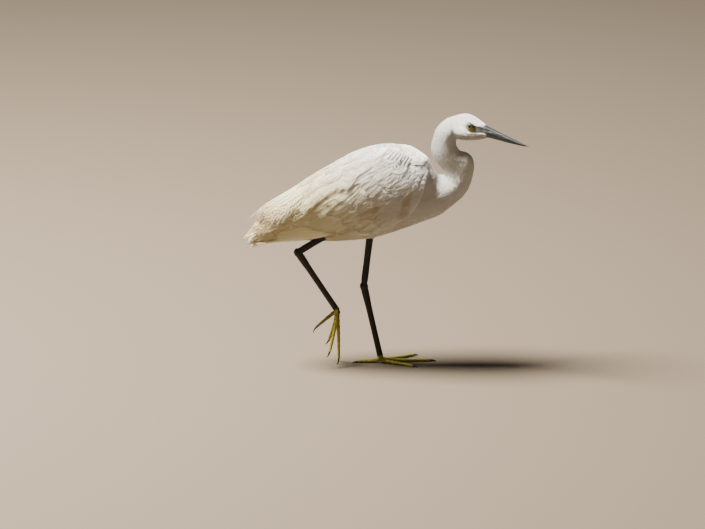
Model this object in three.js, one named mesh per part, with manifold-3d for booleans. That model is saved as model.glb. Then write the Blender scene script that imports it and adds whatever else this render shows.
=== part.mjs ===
// A little egret at life size, wading with its right foot lifting, modelled as a still museum figure.
// Millimetres. +X runs towards the bill, +Y to the bird's left, +Z up from the floor under the standing foot.
import * as THREE from "three";
import { mergeVertices } from "three/addons/utils/BufferGeometryUtils.js";
import Module from "manifold-3d";

const wasm = await Module();
wasm.setup();
const { Manifold, Mesh: SolidMesh } = wasm;

// Driving dimensions of the bird.
const GAP = 0.3; // air between two neighbouring pieces
const BODY_PITCH = THREE.MathUtils.degToRad(27); // the back's slope
const BODY_CENTRE = { x: -10, z: 245 };
const WIDEST_SHARE = 0.56; // how far up a body section its widest level lies
const HEAD_YAW = THREE.MathUtils.degToRad(-30); // the face turns towards the bird's right
const HEAD_PITCH = THREE.MathUtils.degToRad(9.5); // the bill points down
const HEAD_CENTRE = new THREE.Vector3(140.8, -11, 352.5); // midway between the eyes
const CULMEN_BASE = 21; // from between the eyes to the feather edge on the bill's ridge
const CULMEN = 71; // the ridge of the bill, from feathers to tip
const EYE_RADIUS = 6.3;
const FLOOR = -3.5; // the level of the floor before the figure is centred
const RIGHT_SIDE = -1;
const LEFT_SIDE = 1;

const { degToRad, lerp, clamp } = THREE.MathUtils;
const point = (x, y, z) => new THREE.Vector3(x, y, z);

// Solids

// A solid from a closed three.js geometry.
function solidOf(geometry) {
  const bare = geometry.clone();
  bare.deleteAttribute("normal");
  bare.deleteAttribute("uv");
  const merged = mergeVertices(bare, 1e-4);
  const vertProperties = Float32Array.from(merged.getAttribute("position").array);
  const triVerts = Uint32Array.from(merged.index.array);
  return new Manifold(new SolidMesh({ numProp: 3, vertProperties, triVerts }));
}

// A closed solid from points and triangles, turned so that its faces point outwards.
function closedSolid(points, faces) {
  const volume = faces.reduce((sum, [a, b, c]) => sum + points[a].dot(points[b].clone().cross(points[c])), 0);
  const order = volume < 0 ? [0, 2, 1] : [0, 1, 2];
  const geometry = new THREE.BufferGeometry().setFromPoints(points);
  geometry.setIndex(faces.flatMap((face) => order.map((i) => face[i])));
  return solidOf(geometry);
}

function geometryOf(solid) {
  const mesh = solid.getMesh();
  const geometry = new THREE.BufferGeometry();
  geometry.setAttribute("position", new THREE.BufferAttribute(Float32Array.from(mesh.vertProperties), 3));
  geometry.setIndex(Array.from(mesh.triVerts));
  const flat = geometry.toNonIndexed();
  flat.computeVertexNormals();
  return flat;
}

const joined = (...solids) => Manifold.union(solids.flat());
const largest = (solid) => solid.decompose().sort((a, b) => b.volume() - a.volume())[0];

// The part of a solid that lies ahead of a plane, kept half a gap clear of it.
function aheadOf(solid, at, normal) {
  const n = normal.clone().normalize();
  return solid.trimByPlane(n.toArray(), n.dot(at) + GAP / 2);
}

const behind = (solid, at, normal) => aheadOf(solid, at, normal.clone().negate());

// A skin stretched over rings of points, closed at each end by one point.
function loft(rings, startPole, endPole) {
  const sides = rings[0].length;
  const points = [...rings.flat(), startPole, endPole];
  const [start, end] = [points.length - 2, points.length - 1];
  const faces = [];
  const last = (rings.length - 1) * sides;
  for (let j = 0; j < sides; j += 1) {
    const k = (j + 1) % sides;
    for (let i = 0; i < last; i += sides) {
      faces.push([i + j, i + k, i + sides + k], [i + j, i + sides + k, i + sides + j]);
    }
    faces.push([start, k, j], [end, last + j, last + k]);
  }
  return closedSolid(points, faces);
}

// A smooth curve through rows [t, a, b, ...] with t rising. It gives [a, b, ...] at t.
function smooth(rows) {
  const slope = (i, k) => {
    const low = rows[Math.max(i - 1, 0)];
    const high = rows[Math.min(i + 1, rows.length - 1)];
    return (high[k] - low[k]) / (high[0] - low[0]);
  };
  return (t) => {
    let i = 0;
    while (i < rows.length - 2 && t > rows[i + 1][0]) i += 1;
    const [from, to] = [rows[i], rows[i + 1]];
    const span = to[0] - from[0];
    const s = clamp((t - from[0]) / span, 0, 1);
    const [s2, s3] = [s * s, s * s * s];
    return from.slice(1).map((value, column) => {
      const k = column + 1;
      return (
        value * (2 * s3 - 3 * s2 + 1) +
        span * slope(i, k) * (s3 - 2 * s2 + s) +
        to[k] * (3 * s2 - 2 * s3) +
        span * slope(i + 1, k) * (s3 - s2)
      );
    });
  };
}

// A tube along a path. sizeAt gives the half-width along `across` and the half-depth square to it.
// ease above 1 crowds its rings towards the end.
function tube(path, sizeAt, { sides = 10, steps = 12, across = point(0, 1, 0), grow = 0, ease = 1 } = {}) {
  const curve = new THREE.CatmullRomCurve3(path, false, "centripetal");
  const rings = [];
  for (let i = 0; i <= steps; i += 1) {
    const t = 1 - (1 - i / steps) ** ease;
    const centre = curve.getPoint(t);
    const along = curve.getTangent(t);
    const wide = across.clone().addScaledVector(along, -across.dot(along)).normalize();
    const deep = along.clone().cross(wide);
    const [halfWide, halfDeep] = sizeAt(t).map((size) => size + grow);
    rings.push(
      Array.from({ length: sides }, (_, j) => {
        const angle = (2 * Math.PI * (j + 0.5)) / sides;
        return centre
          .clone()
          .addScaledVector(wide, halfWide * Math.cos(angle))
          .addScaledVector(deep, halfDeep * Math.sin(angle));
      }),
    );
  }
  const endSize = (t) => 0.45 * (Math.min(...sizeAt(t)) + grow);
  const startPole = curve.getPoint(0).addScaledVector(curve.getTangent(0), -endSize(0));
  const endPole = curve.getPoint(1).addScaledVector(curve.getTangent(1), endSize(1));
  return loft(rings, startPole, endPole);
}

// Body shape. p runs along the sloping back towards the breast, q square to it, upwards.

function bodyToWorld(p, y, q) {
  const [c, s] = [Math.cos(BODY_PITCH), Math.sin(BODY_PITCH)];
  return point(BODY_CENTRE.x + p * c - q * s, y, BODY_CENTRE.z + p * s + q * c);
}

// Rows of p, highest q, lowest q and half-width.
const TORSO_ROWS = [
  [-138, 15, 3, 4],
  [-127, 23, -8, 10],
  [-107, 34, -21, 17],
  [-80, 44, -36, 25],
  [-50, 51, -49, 32],
  [-18, 55, -61, 37],
  [14, 56, -67, 39],
  [44, 53, -71, 38.5],
  [70, 45, -71, 35],
  [89, 33, -61, 28],
  [101, 16, -44, 19],
  [106, 3, -30, 10],
];
// The same over the rear of the folded wings and the tail, which lie past the torso's end.
const OUTER_ROWS = [
  [-185, 20, 9, 3],
  [-165, 29, 6, 8],
  [-146, 36, 0, 13.5],
  [-128, 41, -9, 18],
  [-107, 45, -20, 23],
  [-80, 49, -35, 28.5],
  [-50, 53, -49, 33.5],
  ...TORSO_ROWS.slice(5),
];
const torsoRow = smooth(TORSO_ROWS);
const outerRow = smooth(OUTER_ROWS);

// A point on a body section. The angle runs from the ridge of the back, positive to the left.
function sectionPoint(rowAt, p, angle) {
  const [top, bottom, half] = rowAt(p);
  const widest = lerp(bottom, top, WIDEST_SHARE);
  const reach = Math.cos(angle) > 0 ? top - widest : widest - bottom;
  return bodyToWorld(p, half * Math.sin(angle), widest + reach * Math.cos(angle));
}

// A point above the outer surface at the height `lift`, with the surface's own directions there.
function onBody(p, angle, lift = 0) {
  const [dp, da] = [0.5, 0.01];
  const surface = (atP, atAngle) => sectionPoint(outerRow, atP, atAngle);
  const at = surface(p, angle);
  const alongP = surface(p + dp, angle).sub(surface(p - dp, angle)).divideScalar(2 * dp);
  const alongA = surface(p, angle + da).sub(surface(p, angle - da)).divideScalar(2 * da);
  const normal = alongP.clone().cross(alongA).negate().normalize();
  const outward = at.clone().sub(bodyToWorld(p, 0, lerp(outerRow(p)[1], outerRow(p)[0], WIDEST_SHARE)));
  if (normal.dot(outward) < 0) normal.negate();
  return { at: at.addScaledVector(normal, lift), alongP, alongA, normal };
}

const TORSO_SIDES = 24;

function torsoLoft(grow = 0) {
  const [first, last, steps] = [TORSO_ROWS[0][0], TORSO_ROWS.at(-1)[0], 15];
  const grown = (p) => {
    const [top, bottom, half] = torsoRow(p);
    return [top + grow, bottom - grow, half + grow];
  };
  const rings = Array.from({ length: steps + 1 }, (_, i) => {
    const p = lerp(first, last, i / steps);
    return Array.from({ length: TORSO_SIDES }, (_unused, j) =>
      sectionPoint(grown, p, (2 * Math.PI * j) / TORSO_SIDES),
    );
  });
  const [rear, front] = [torsoRow(first), torsoRow(last)];
  return loft(
    rings,
    bodyToWorld(first - 2 - grow, 0, (rear[0] + rear[1]) / 2),
    bodyToWorld(last + 3 + grow, 0, (front[0] + front[1]) / 2),
  );
}

// The neck folds in an S: a lower limb rises from the breast, and an upper limb
// falls back and climbs to the head.
const LOWER_NECK = smooth([
  // t, x, z, half-width, half-depth
  [0, 52, 230, 27, 28],
  [0.3, 88, 247, 29, 30],
  [0.55, 115, 261, 23, 22],
  [0.78, 124.5, 283, 18.2, 20.2],
  [0.9, 126.3, 296, 16.4, 18.6],
  [0.96, 125.4, 304, 12.5, 14],
  [1, 124.2, 308.5, 7.5, 8],
]);
const UPPER_NECK = smooth([
  [0, 124, 278, 12, 11],
  [0.2, 114.5, 292, 16.5, 16.5],
  [0.42, 102, 312, 16, 18.6],
  [0.62, 102, 330, 14.5, 16.5],
  [0.8, 109, 344, 14.5, 17],
  [1, 122, 352, 14, 16],
]);
// The feathers in the fold fill the crease between the two limbs.
const NECK_FILL = { at: point(117, 0, 296), half: point(17, 15.2, 17) };
const LOWER_EASE = 1.7;
const NECK_STEPS = 10;
const NECK_SIDES = 16;

function neckLimb(rowAt, ease, grow = 0) {
  const path = Array.from({ length: NECK_STEPS + 1 }, (_, i) => {
    const [x, z] = rowAt(i / NECK_STEPS);
    return point(x, 0, z);
  });
  return tube(path, (t) => rowAt(t).slice(2), { sides: NECK_SIDES, steps: NECK_STEPS, grow, ease });
}

function neckFill() {
  const { at, half } = NECK_FILL;
  const fill = new THREE.SphereGeometry(1, 16, 10).scale(half.x, half.y, half.z);
  return solidOf(fill.translate(at.x, at.y, at.z));
}

// Head. x' runs along the bill, z' up, from the point between the eyes.

function headMatrix() {
  const turn = new THREE.Matrix4().makeRotationZ(HEAD_YAW);
  const dip = new THREE.Matrix4().makeRotationY(HEAD_PITCH);
  return turn.multiply(dip).setPosition(HEAD_CENTRE);
}
const HEAD = headMatrix();
const headPoint = (x, y, z) => point(x, y, z).applyMatrix4(HEAD);
const headDirection = (x, y, z) => point(x, y, z).transformDirection(HEAD);

// Rows of x', highest z', lowest z' and half-width.
const HEAD_ROWS = [
  [-44, -1, -16, 7],
  [-38, 4.6, -22, 11],
  [-28, 9, -26.5, 14],
  [-15, 11.4, -27, 15.2],
  [-2, 11.6, -25, 14.6],
  [8, 9.6, -21.4, 12.4],
  [16, 7, -17.6, 9.6],
  [23, 4.8, -14.4, 7.3],
  [31, 2.7, -12.4, 5.8],
];
const headRow = smooth(HEAD_ROWS);

function headSection(x, angle) {
  const [top, bottom, half] = headRow(x);
  const middle = (top + bottom) / 2;
  return headPoint(x, half * Math.sin(angle), middle + ((top - bottom) / 2) * Math.cos(angle));
}

function headLoft() {
  const [first, last, steps, sides] = [HEAD_ROWS[0][0], HEAD_ROWS.at(-1)[0], 13, 20];
  const rings = Array.from({ length: steps + 1 }, (_, i) => {
    const x = lerp(first, last, i / steps);
    return Array.from({ length: sides }, (_unused, j) => headSection(x, (2 * Math.PI * j) / sides));
  });
  return loft(rings, headPoint(first - 3, 0, -3), headPoint(last + 1, 0, -4));
}

// Bill. Rows of x', far edge z' (ridge or keel), gape z' and half-width.
const BILL_TIP = CULMEN_BASE + CULMEN;
const GAPE = (x) => -4.2 - (0.9 * Math.max(x - CULMEN_BASE, 0)) / CULMEN;
const UPPER_BILL = smooth([
  [10, 5.2, 5.2],
  [CULMEN_BASE, 4.6, 5.2],
  [36, 2.7, 4.4],
  [52, 0.5, 3.5],
  [68, -1.9, 2.7],
  [82, -3.7, 1.8],
  [BILL_TIP - 2, -4.6, 1.2],
]);
const LOWER_BILL = smooth([
  [10, -10.8, 5],
  [CULMEN_BASE + 4, -11, 4.6],
  [44, -10, 3.7],
  [62, -8.8, 2.7],
  [78, -7.3, 1.7],
  [BILL_TIP - 6, -6.4, 1.1],
]);

// Half of the bill: an arch over the flat line of the mouth. A root that is grown cuts its own socket.
function mandible(rowAt, side, tip, grow = 0) {
  const [first, steps, arch] = [10 - grow, 10, 6];
  const rings = Array.from({ length: steps + 1 }, (_, i) => {
    const x = lerp(first, tip - 2, i / steps);
    const [edge, half] = rowAt(x);
    const flat = GAPE(x) + side * (GAP / 2 - grow);
    return Array.from({ length: arch + 1 }, (_unused, j) => {
      const angle = (Math.PI * j) / arch;
      const rise = (edge + side * grow - flat) * Math.sin(angle) ** 0.85;
      return headPoint(x, (half + grow) * Math.cos(angle), flat + rise);
    });
  });
  const middle = (x) => (rowAt(x)[0] + GAPE(x)) / 2;
  return loft(rings, headPoint(first - 0.3, 0, middle(first)), headPoint(tip, 0, GAPE(tip) + side * 0.35));
}

const NOSTRIL = { length: 8.4, depth: 1.8, height: 1.5, slope: degToRad(7), ahead: 8, aside: 4.4, rise: 0.2 };

function nostril(side) {
  const { length, depth, height, slope, ahead, aside, rise } = NOSTRIL;
  const slit = new THREE.SphereGeometry(0.5, 8, 6).scale(length, depth, height);
  slit.rotateY(slope);
  slit.translate(CULMEN_BASE + ahead, side * aside, rise);
  return solidOf(slit.applyMatrix4(HEAD));
}

// The corner of the mouth runs back under the eye as a crease in the face.
function mouthCrease(side) {
  const path = [3, 8, 13, 18, 23, 28].map((x) => {
    const height = lerp(-7.2, GAPE(x), clamp((x - 3) / 18, 0, 1));
    const [top, bottom, half] = headRow(x);
    const middle = (top + bottom) / 2;
    const rise = (height - middle) / ((top - bottom) / 2);
    return headPoint(x, side * half * Math.sqrt(Math.max(1 - rise * rise, 0)), height);
  });
  return tube(path, () => [0.8, 0.5], { sides: 4, steps: 6, across: headDirection(0, 1, 0) });
}

// Eyes look outwards and a little forwards.
const EYE_X = 1;
const EYE_SIDE = 8.3;
const EYE_FORWARD = degToRad(12);
const eyeAxis = (side) => headDirection(Math.sin(EYE_FORWARD), side * Math.cos(EYE_FORWARD), 0.05);
const eyeCentre = (side) => headPoint(EYE_X, side * EYE_SIDE, 0.5);

function eyeball(side, grow = 0) {
  const ball = new THREE.SphereGeometry(EYE_RADIUS + grow, 14, 8);
  ball.rotateX(Math.PI / 2);
  const centre = eyeCentre(side);
  return solidOf(ball.translate(centre.x, centre.y, centre.z));
}

function eyelid(side) {
  const [ringRadius, thickness, outward] = [4.4, 0.9, 4.5];
  const ring = new THREE.TorusGeometry(ringRadius, thickness, 5, 14);
  ring.scale(1.12, 0.92, 1);
  const axis = eyeAxis(side);
  ring.applyQuaternion(new THREE.Quaternion().setFromUnitVectors(point(0, 0, 1), axis));
  const centre = eyeCentre(side).addScaledVector(axis, outward);
  return solidOf(ring.translate(centre.x, centre.y, centre.z));
}

// Feather vanes

const VANE_THICK = 1; // along the middle of a vane

let seed = 11;
function vary(amount) {
  seed = (seed * 16807) % 2147483647;
  return amount * ((2 * seed) / 2147483647 - 1);
}

// A thin plate through stations {left, middle, right, up, thick}, sharp at its edges.
// Its two faces are split alike.
function plate(stations, tip) {
  const points = stations.flatMap(({ left, middle, right, up, thick }) => [
    left,
    middle.clone().addScaledVector(up, thick / 2),
    right,
    middle.clone().addScaledVector(up, -thick / 2),
  ]);
  points.push(tip);
  const faces = [
    [1, 0, 3],
    [1, 3, 2],
  ];
  const quad = (a, b, c, d) => faces.push([a, b, c], [a, c, d]);
  const end = 4 * (stations.length - 1);
  for (let a = 0; a < end; a += 4) {
    const b = a + 4;
    quad(a, a + 1, b + 1, b);
    quad(a + 1, a + 2, b + 2, b + 1);
    quad(a, b, b + 3, a + 3);
    quad(a + 3, b + 3, b + 2, a + 2);
  }
  for (let j = 0; j < 4; j += 1) faces.push([end + j, end + ((j + 1) % 4), end + 4]);
  return closedSolid(points, faces);
}

// Outlines of a feather: how far along it, and how much of its full width it has there.
const ROUND_TIP = [
  [0, 0.35],
  [0.5, 1],
  [0.88, 0.76],
];
const POINTED_TIP = [
  [0, 0.4],
  [0.32, 1],
  [0.68, 0.9],
  [0.9, 0.45],
];
const PLUME = [
  [0, 1],
  [0.4, 0.9],
  [0.75, 0.6],
];

// A feather laid over the outer body from a root to a tip, each given as p and an angle in
// degrees on one side. It leaves the core just under the skin and reaches the height `lift` at
// its tip. bow swings its middle, tilt raises its lower edge, and flare lifts its end clear.
function feather({ side, root, tip, width, core, lift, ...extra }) {
  const { bow, tilt, shape, flare } = { bow: 0, tilt: 0.35, shape: ROUND_TIP, flare: 0, ...extra };
  const rootLift = Math.max(core(...root) - 0.75 * VANE_THICK, 0);
  const place = (s) => {
    const swing = bow * Math.sin(Math.PI * s);
    const p = lerp(root[0], tip[0], s);
    const angle = side * degToRad(lerp(root[1], tip[1], s) + swing);
    return { p, angle, height: lerp(rootLift, lift, s) + flare * s * s * s };
  };
  const stations = shape.map(([s, fullness]) => {
    const { p, angle, height } = place(s);
    const { at, alongP, alongA, normal } = onBody(p, angle, height);
    const ahead = place(Math.min(s + 0.02, 1));
    const back = place(Math.max(s - 0.02, 0));
    const along = onBody(ahead.p, ahead.angle, ahead.height).at;
    along.sub(onBody(back.p, back.angle, back.height).at);
    const lateral = normal.clone().cross(along).normalize().multiplyScalar(side);
    const half = (width / 2) * fullness;
    const edge = (share) => {
      const step = half * share;
      const stepP = (step * lateral.dot(alongP)) / alongP.lengthSq();
      const stepA = (step * lateral.dot(alongA)) / Math.max(alongA.lengthSq(), 60);
      const down = Math.sign(stepA * side) || 1;
      return onBody(p + stepP, angle + stepA, height + tilt * fullness * down).at;
    };
    return { left: edge(-1), middle: at, right: edge(1), up: normal, thick: VANE_THICK };
  });
  const end = place(1);
  return plate(stations, onBody(end.p, end.angle, end.height).at);
}

// A row of feathers between a low and a high place, for roots and tips alike.
function featherRow({ side, count, roots, tips, width, jitter = 2, ...rest }) {
  return Array.from({ length: count }, (_, i) => {
    const share = count > 1 ? i / (count - 1) : 0;
    const between = ([low, high], k) => lerp(low[k], high[k], share);
    return feather({
      side,
      root: [between(roots, 0), between(roots, 1)],
      tip: [between(tips, 0) + vary(jitter), between(tips, 1) + vary(1)],
      width: width * (1 + vary(0.06)),
      ...rest,
    });
  });
}

// A shell that lies on the outer body between two places along it and two angles, thin at its edges.
function shell({ from, to, steps, anglesAt, across, thickness, sunk }) {
  const points = [];
  const row = across + 1;
  for (const outer of [true, false]) {
    for (let i = 0; i <= steps; i += 1) {
      const p = lerp(from, to, i / steps);
      const [low, high] = anglesAt(p);
      for (let j = 0; j <= across; j += 1) {
        const angle = lerp(low, high, j / across);
        points.push(onBody(p, degToRad(angle), outer ? thickness(p, Math.abs(angle)) : -sunk).at);
      }
    }
  }
  const faces = [];
  const under = row * (steps + 1);
  const quad = (a, b, c, d) => faces.push([a, b, c], [a, c, d]);
  for (let i = 0; i < steps; i += 1) {
    for (let j = 0; j < across; j += 1) {
      const a = i * row + j;
      quad(a, a + 1, a + row + 1, a + row);
      quad(under + a + row, under + a + row + 1, under + a + 1, under + a);
    }
    const [low, high] = [i * row, i * row + across];
    quad(low, low + row, under + low + row, under + low);
    quad(high + row, high, under + high, under + high + row);
  }
  for (let j = 0; j < across; j += 1) {
    const far = steps * row + j;
    quad(j + 1, j, under + j, under + j + 1);
    quad(far, far + 1, under + far + 1, under + far);
  }
  return closedSolid(points, faces);
}

// Wings, folded on the sides. Angles are in degrees from the ridge of the back.
const WING_LOW = smooth([
  [-104, 97],
  [-84, 99],
  [-50, 114],
  [-15, 130],
  [25, 133],
  [60, 120],
  [88, 103],
  [104, 88],
]);
const WING_REAR = -100;
const WING_FRONT = 101;
const WING_HIGH = 31.5;
const WING_LEAST = 12; // the least height of the wing, in degrees
const WING_MARGIN = { rear: 50, front: 34, side: 16 }; // where it thins: mm, mm and degrees
const WING_FLESH = 2.5;
const EDGE = 0.9; // how thick a core is at its rim
const SUNK = 2.6; // how far a core reaches into the torso's room, which is then cut from it

const wingLow = (p) => Math.max(WING_LOW(p)[0], WING_HIGH + WING_LEAST);

// How thick the flesh of the wing is at a place on it, thinning over a margin to its rim.
function wingThickness(p, angle) {
  const { rear, front, side } = WING_MARGIN;
  const inward = Math.min(
    (p - WING_REAR) / rear,
    (WING_FRONT - p) / front,
    (angle - WING_HIGH) / side,
    (wingLow(p) - angle) / side,
  );
  return EDGE + WING_FLESH * Math.sqrt(clamp(inward, 0, 1));
}

function wingCore(side) {
  return shell({
    from: WING_REAR,
    to: WING_FRONT,
    steps: 12,
    across: 6,
    sunk: SUNK,
    anglesAt: (p) => [side * WING_HIGH, side * wingLow(p)],
    thickness: wingThickness,
  });
}

// Each row gives the number of feathers, the places of the lowest and highest root and tip, and the shape.
const pointed = (row) => ({ ...row, shape: POINTED_TIP });
const WING_ROWS = [
  // primaries, tucked low with their tips past the tertials
  pointed({ count: 3, roots: [[-62, 92], [-50, 84]], tips: [[-177, 96], [-154, 90]], width: 14, lift: 1.7 }),
  // secondaries, from the lowest and foremost to the highest
  pointed({ count: 5, roots: [[12, 122], [-46, 58]], tips: [[-38, 129], [-118, 84]], width: 21, lift: 3.1 }),
  // tertials, long and loose over the rump
  pointed({ count: 3, roots: [[-34, 62], [-26, 44]], tips: [[-142, 84], [-156, 56]], width: 19, lift: 4.2 }),
  // greater coverts
  { count: 5, roots: [[38, 122], [-14, 46]], tips: [[-8, 130], [-70, 64]], width: 21, lift: 4.6 },
  // median coverts
  { count: 5, roots: [[60, 114], [12, 44]], tips: [[20, 125], [-30, 52]], width: 20, lift: 5 },
  // lesser coverts behind the bend of the wing
  { count: 4, roots: [[82, 96], [46, 44]], tips: [[50, 112], [8, 46]], width: 22, lift: 5 },
];

function wingFeathers(side) {
  return WING_ROWS.flatMap((row) => featherRow({ side, core: wingThickness, bow: 2, ...row }));
}

// The mantle is a saddle over the back that carries the scapulars and the long, loose plumes.
const MANTLE_REAR = -76;
const MANTLE_FRONT = 94;
const MANTLE_HALF = 30.5; // degrees on each side of the ridge
const MANTLE_MARGIN = { rear: 34, front: 40, side: 13 };
const MANTLE_FLESH = 4.7;

function mantleThickness(p, angle) {
  const { rear, front, side } = MANTLE_MARGIN;
  const inward = Math.min((p - MANTLE_REAR) / rear, (MANTLE_FRONT - p) / front, (MANTLE_HALF - angle) / side);
  return EDGE + MANTLE_FLESH * Math.sqrt(clamp(inward, 0, 1));
}

function mantleCore() {
  return shell({
    from: MANTLE_REAR,
    to: MANTLE_FRONT,
    steps: 11,
    across: 8,
    sunk: SUNK,
    anglesAt: () => [-MANTLE_HALF, MANTLE_HALF],
    thickness: mantleThickness,
  });
}

const SCAPULAR_ROWS = [
  pointed({ count: 3, roots: [[-20, 20], [-40, 5]], tips: [[-102, 54], [-122, 16]], width: 20, lift: 8 }),
  { count: 3, roots: [[20, 20], [2, 5]], tips: [[-50, 56], [-72, 14]], width: 22, lift: 8.2 },
  { count: 3, roots: [[62, 16], [48, 4]], tips: [[10, 52], [-14, 13]], width: 23, lift: 7.8 },
];

function scapulars(side) {
  return SCAPULAR_ROWS.flatMap((row) => featherRow({ side, core: mantleThickness, tilt: 0.3, ...row }));
}

function plumes(side) {
  return featherRow({
    side,
    core: mantleThickness,
    count: 6,
    roots: [[-30, 22], [-20, 3]],
    tips: [[-150, 74], [-155, 8]],
    width: 6,
    lift: 8.6,
    flare: 5,
    jitter: 6,
    tilt: 0,
    shape: PLUME,
  });
}

// Tail: twelve feathers in a shallow roof, the middle pair on top.
const TAIL_ROOT = { p: -98, q: 2 };
const TAIL_TIP = { p: -176, q: 15 };
const TAIL_RANKS = [0, 1, 2, 3, 4, 5];

function tailFeather(side, rank) {
  const [fan, drop] = [degToRad(1.5 + 2.6 * rank), 1.15 * rank];
  const stations = [ROUND_TIP[0], ...ROUND_TIP.slice(2)].map(([s, fullness]) => {
    const p = lerp(TAIL_ROOT.p, TAIL_TIP.p + 1.5 * rank, s);
    const away = side * (1.2 + (TAIL_ROOT.p - p) * Math.tan(fan) + 1.1 * rank * (1 - s));
    const q = lerp(TAIL_ROOT.q, TAIL_TIP.q, s) - drop - 0.16 * Math.abs(away);
    const half = 6.5 * fullness;
    const edge = (share) => bodyToWorld(p, away + share * half, q - 0.2 * side * share * half);
    const up = bodyToWorld(p, 0, q + 1).sub(bodyToWorld(p, 0, q));
    return { left: edge(-1), middle: edge(0), right: edge(1), up, thick: 1.1 };
  });
  const p = TAIL_TIP.p + 1.5 * rank;
  const away = side * (1.2 + (TAIL_ROOT.p - p) * Math.tan(fan));
  return plate(stations, bodyToWorld(p, away, TAIL_TIP.q - drop - 0.16 * Math.abs(away)));
}

function tail(room) {
  const root = tube(
    [bodyToWorld(-112, 0, 3), bodyToWorld(-130, 0, 6), bodyToWorld(-148, 0, 9)],
    (t) => [lerp(15, 11, t), lerp(8, 2.6, t)],
    { sides: 12, steps: 4 },
  );
  const vanes = [LEFT_SIDE, RIGHT_SIDE].flatMap((side) => TAIL_RANKS.map((rank) => tailFeather(side, rank)));
  return joined(root, vanes).subtract(room);
}

// Legs

const LEGS = {
  left: {
    thigh: [point(6, 18, 214), point(0.5, 19, 194), point(-3, 17, 179)],
    thighSize: (t) => [lerp(14, 5.5, t), lerp(16, 6, t)],
    ankle: point(-11.5, 16, 107.5),
    joint: point(12.4, 5, 3.5),
  },
  right: {
    thigh: [point(-12, -22, 216), point(-38, -24, 206), point(-64, -19, 191.5)],
    thighSize: (t) => [lerp(14, 6, t), lerp(19, 7.5, t)],
    ankle: point(-105, -14, 166.5),
    joint: point(-49.5, -4, 77),
  },
};

const thigh = (leg, grow = 0) => tube(leg.thigh, leg.thighSize, { sides: 12, steps: 5, grow });

function shank(leg, grow = 0) {
  const [knee, cuff] = leg.thigh.slice(1);
  const root = knee.clone().lerp(cuff, 0.55);
  const sizes = smooth([
    [0, 3.7, 4.5],
    [0.6, 3.4, 4.3],
    [0.86, 3.7, 4.6],
    [1, 4.2, 5.1],
  ]);
  const path = [root, cuff, leg.ankle.clone().lerp(cuff, 0.45), leg.ankle];
  return tube(path, sizes, { sides: 10, steps: 8, grow });
}

const tarsusPath = (leg) => [leg.ankle, leg.ankle.clone().lerp(leg.joint, 0.5), leg.joint];

function tarsus(leg, grow = 0) {
  const sizes = smooth([
    [0, 4.4, 5.7],
    [0.05, 4.7, 6],
    [0.14, 3.8, 4.8],
    [0.3, 3.2, 3.9],
    [0.75, 3.1, 3.8],
    [0.93, 3.5, 3.9],
    [1, 3.8, 4],
  ]);
  return tube(tarsusPath(leg), sizes, { sides: 10, steps: 12, grow });
}

// The ankle's ball, wide enough to clear the tarsus all round, cuts the shank's end hollow.
const ankleRoom = (leg) => tube(tarsusPath(leg), () => [5.2, 6.6], { sides: 16, steps: 4 });

// Toes: first the hind toe, then the inner, middle and outer front toes.
// Bends lie between the bones of the toe.
const TOE_JOINTS = { hind: 2, inner: 3, middle: 4, outer: 5 };

function toe(path, name, sole) {
  const joints = TOE_JOINTS[name];
  const size = (t) => {
    const knuckle = 1 + 0.16 * Math.cos(2 * Math.PI * joints * t) ** 8;
    const radius = lerp(3, 1.75, t) * knuckle;
    return [radius, radius];
  };
  const steps = joints * 3;
  return tube(path, size, { sides: 6, steps, across: sole });
}

// A claw hooks down from the end of its toe.
function claw(from, along, down, length) {
  const path = [
    from.clone().addScaledVector(along, -0.5),
    from.clone().addScaledVector(along, length * 0.5).addScaledVector(down, length * 0.07),
    from.clone().addScaledVector(along, length).addScaledVector(down, length * 0.3),
  ];
  const hook = tube(path, (t) => [lerp(1.35, 0.3, t), lerp(1.7, 0.35, t)], {
    sides: 6,
    steps: 4,
    across: along.clone().cross(down),
  });
  return aheadOf(hook, from, along);
}

// Whatever would reach under the floor is cut flat.
const aboveFloor = (solid) => solid.trimByPlane([0, 0, 1], FLOOR);

const TOE_LENGTHS = { hind: 32, inner: 50, middle: 71, outer: 56 };
const CLAW_LENGTHS = { hind: 11, inner: 8, middle: 11, outer: 8 };
const STANDING_SPREAD = { hind: 184, inner: -24, middle: 4, outer: 31 };

// The standing foot lies flat. Each toe leaves the joint, drops to the floor and runs out along it.
function standingToe(joint, name) {
  const heading = degToRad(STANDING_SPREAD[name]);
  const out = point(Math.cos(heading), Math.sin(heading), 0);
  const length = TOE_LENGTHS[name];
  const at = (share, height) => point(joint.x, joint.y, FLOOR + height).addScaledVector(out, length * share);
  const path = [at(0, 4.4), at(0.1, 3.4), at(0.25, 2.1), at(0.6, 1.75), at(1, 1.35)];
  return { path, end: at(1, 1.6), along: out, down: point(0, 0, -1), across: point(-out.y, out.x, 0) };
}

// The lifting foot hangs. Its front toes fall together to the floor, and the hind toe slants back.
const HANGING = {
  hind: { aim: [-0.8, 0.02, -0.6], curl: [-0.15, 0, -0.25], sole: [0.5, 0, -1] },
  inner: { aim: [-0.12, 0.3, -0.95], curl: [-0.22, 0.05, -0.1], sole: [-1, 0, 0] },
  middle: { aim: [0.06, -0.01, -1], curl: [-0.05, 0, 0], sole: [-1, 0, 0] },
  outer: { aim: [-0.1, -0.28, -0.95], curl: [-0.16, -0.05, -0.1], sole: [-1, 0, 0] },
};

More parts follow.
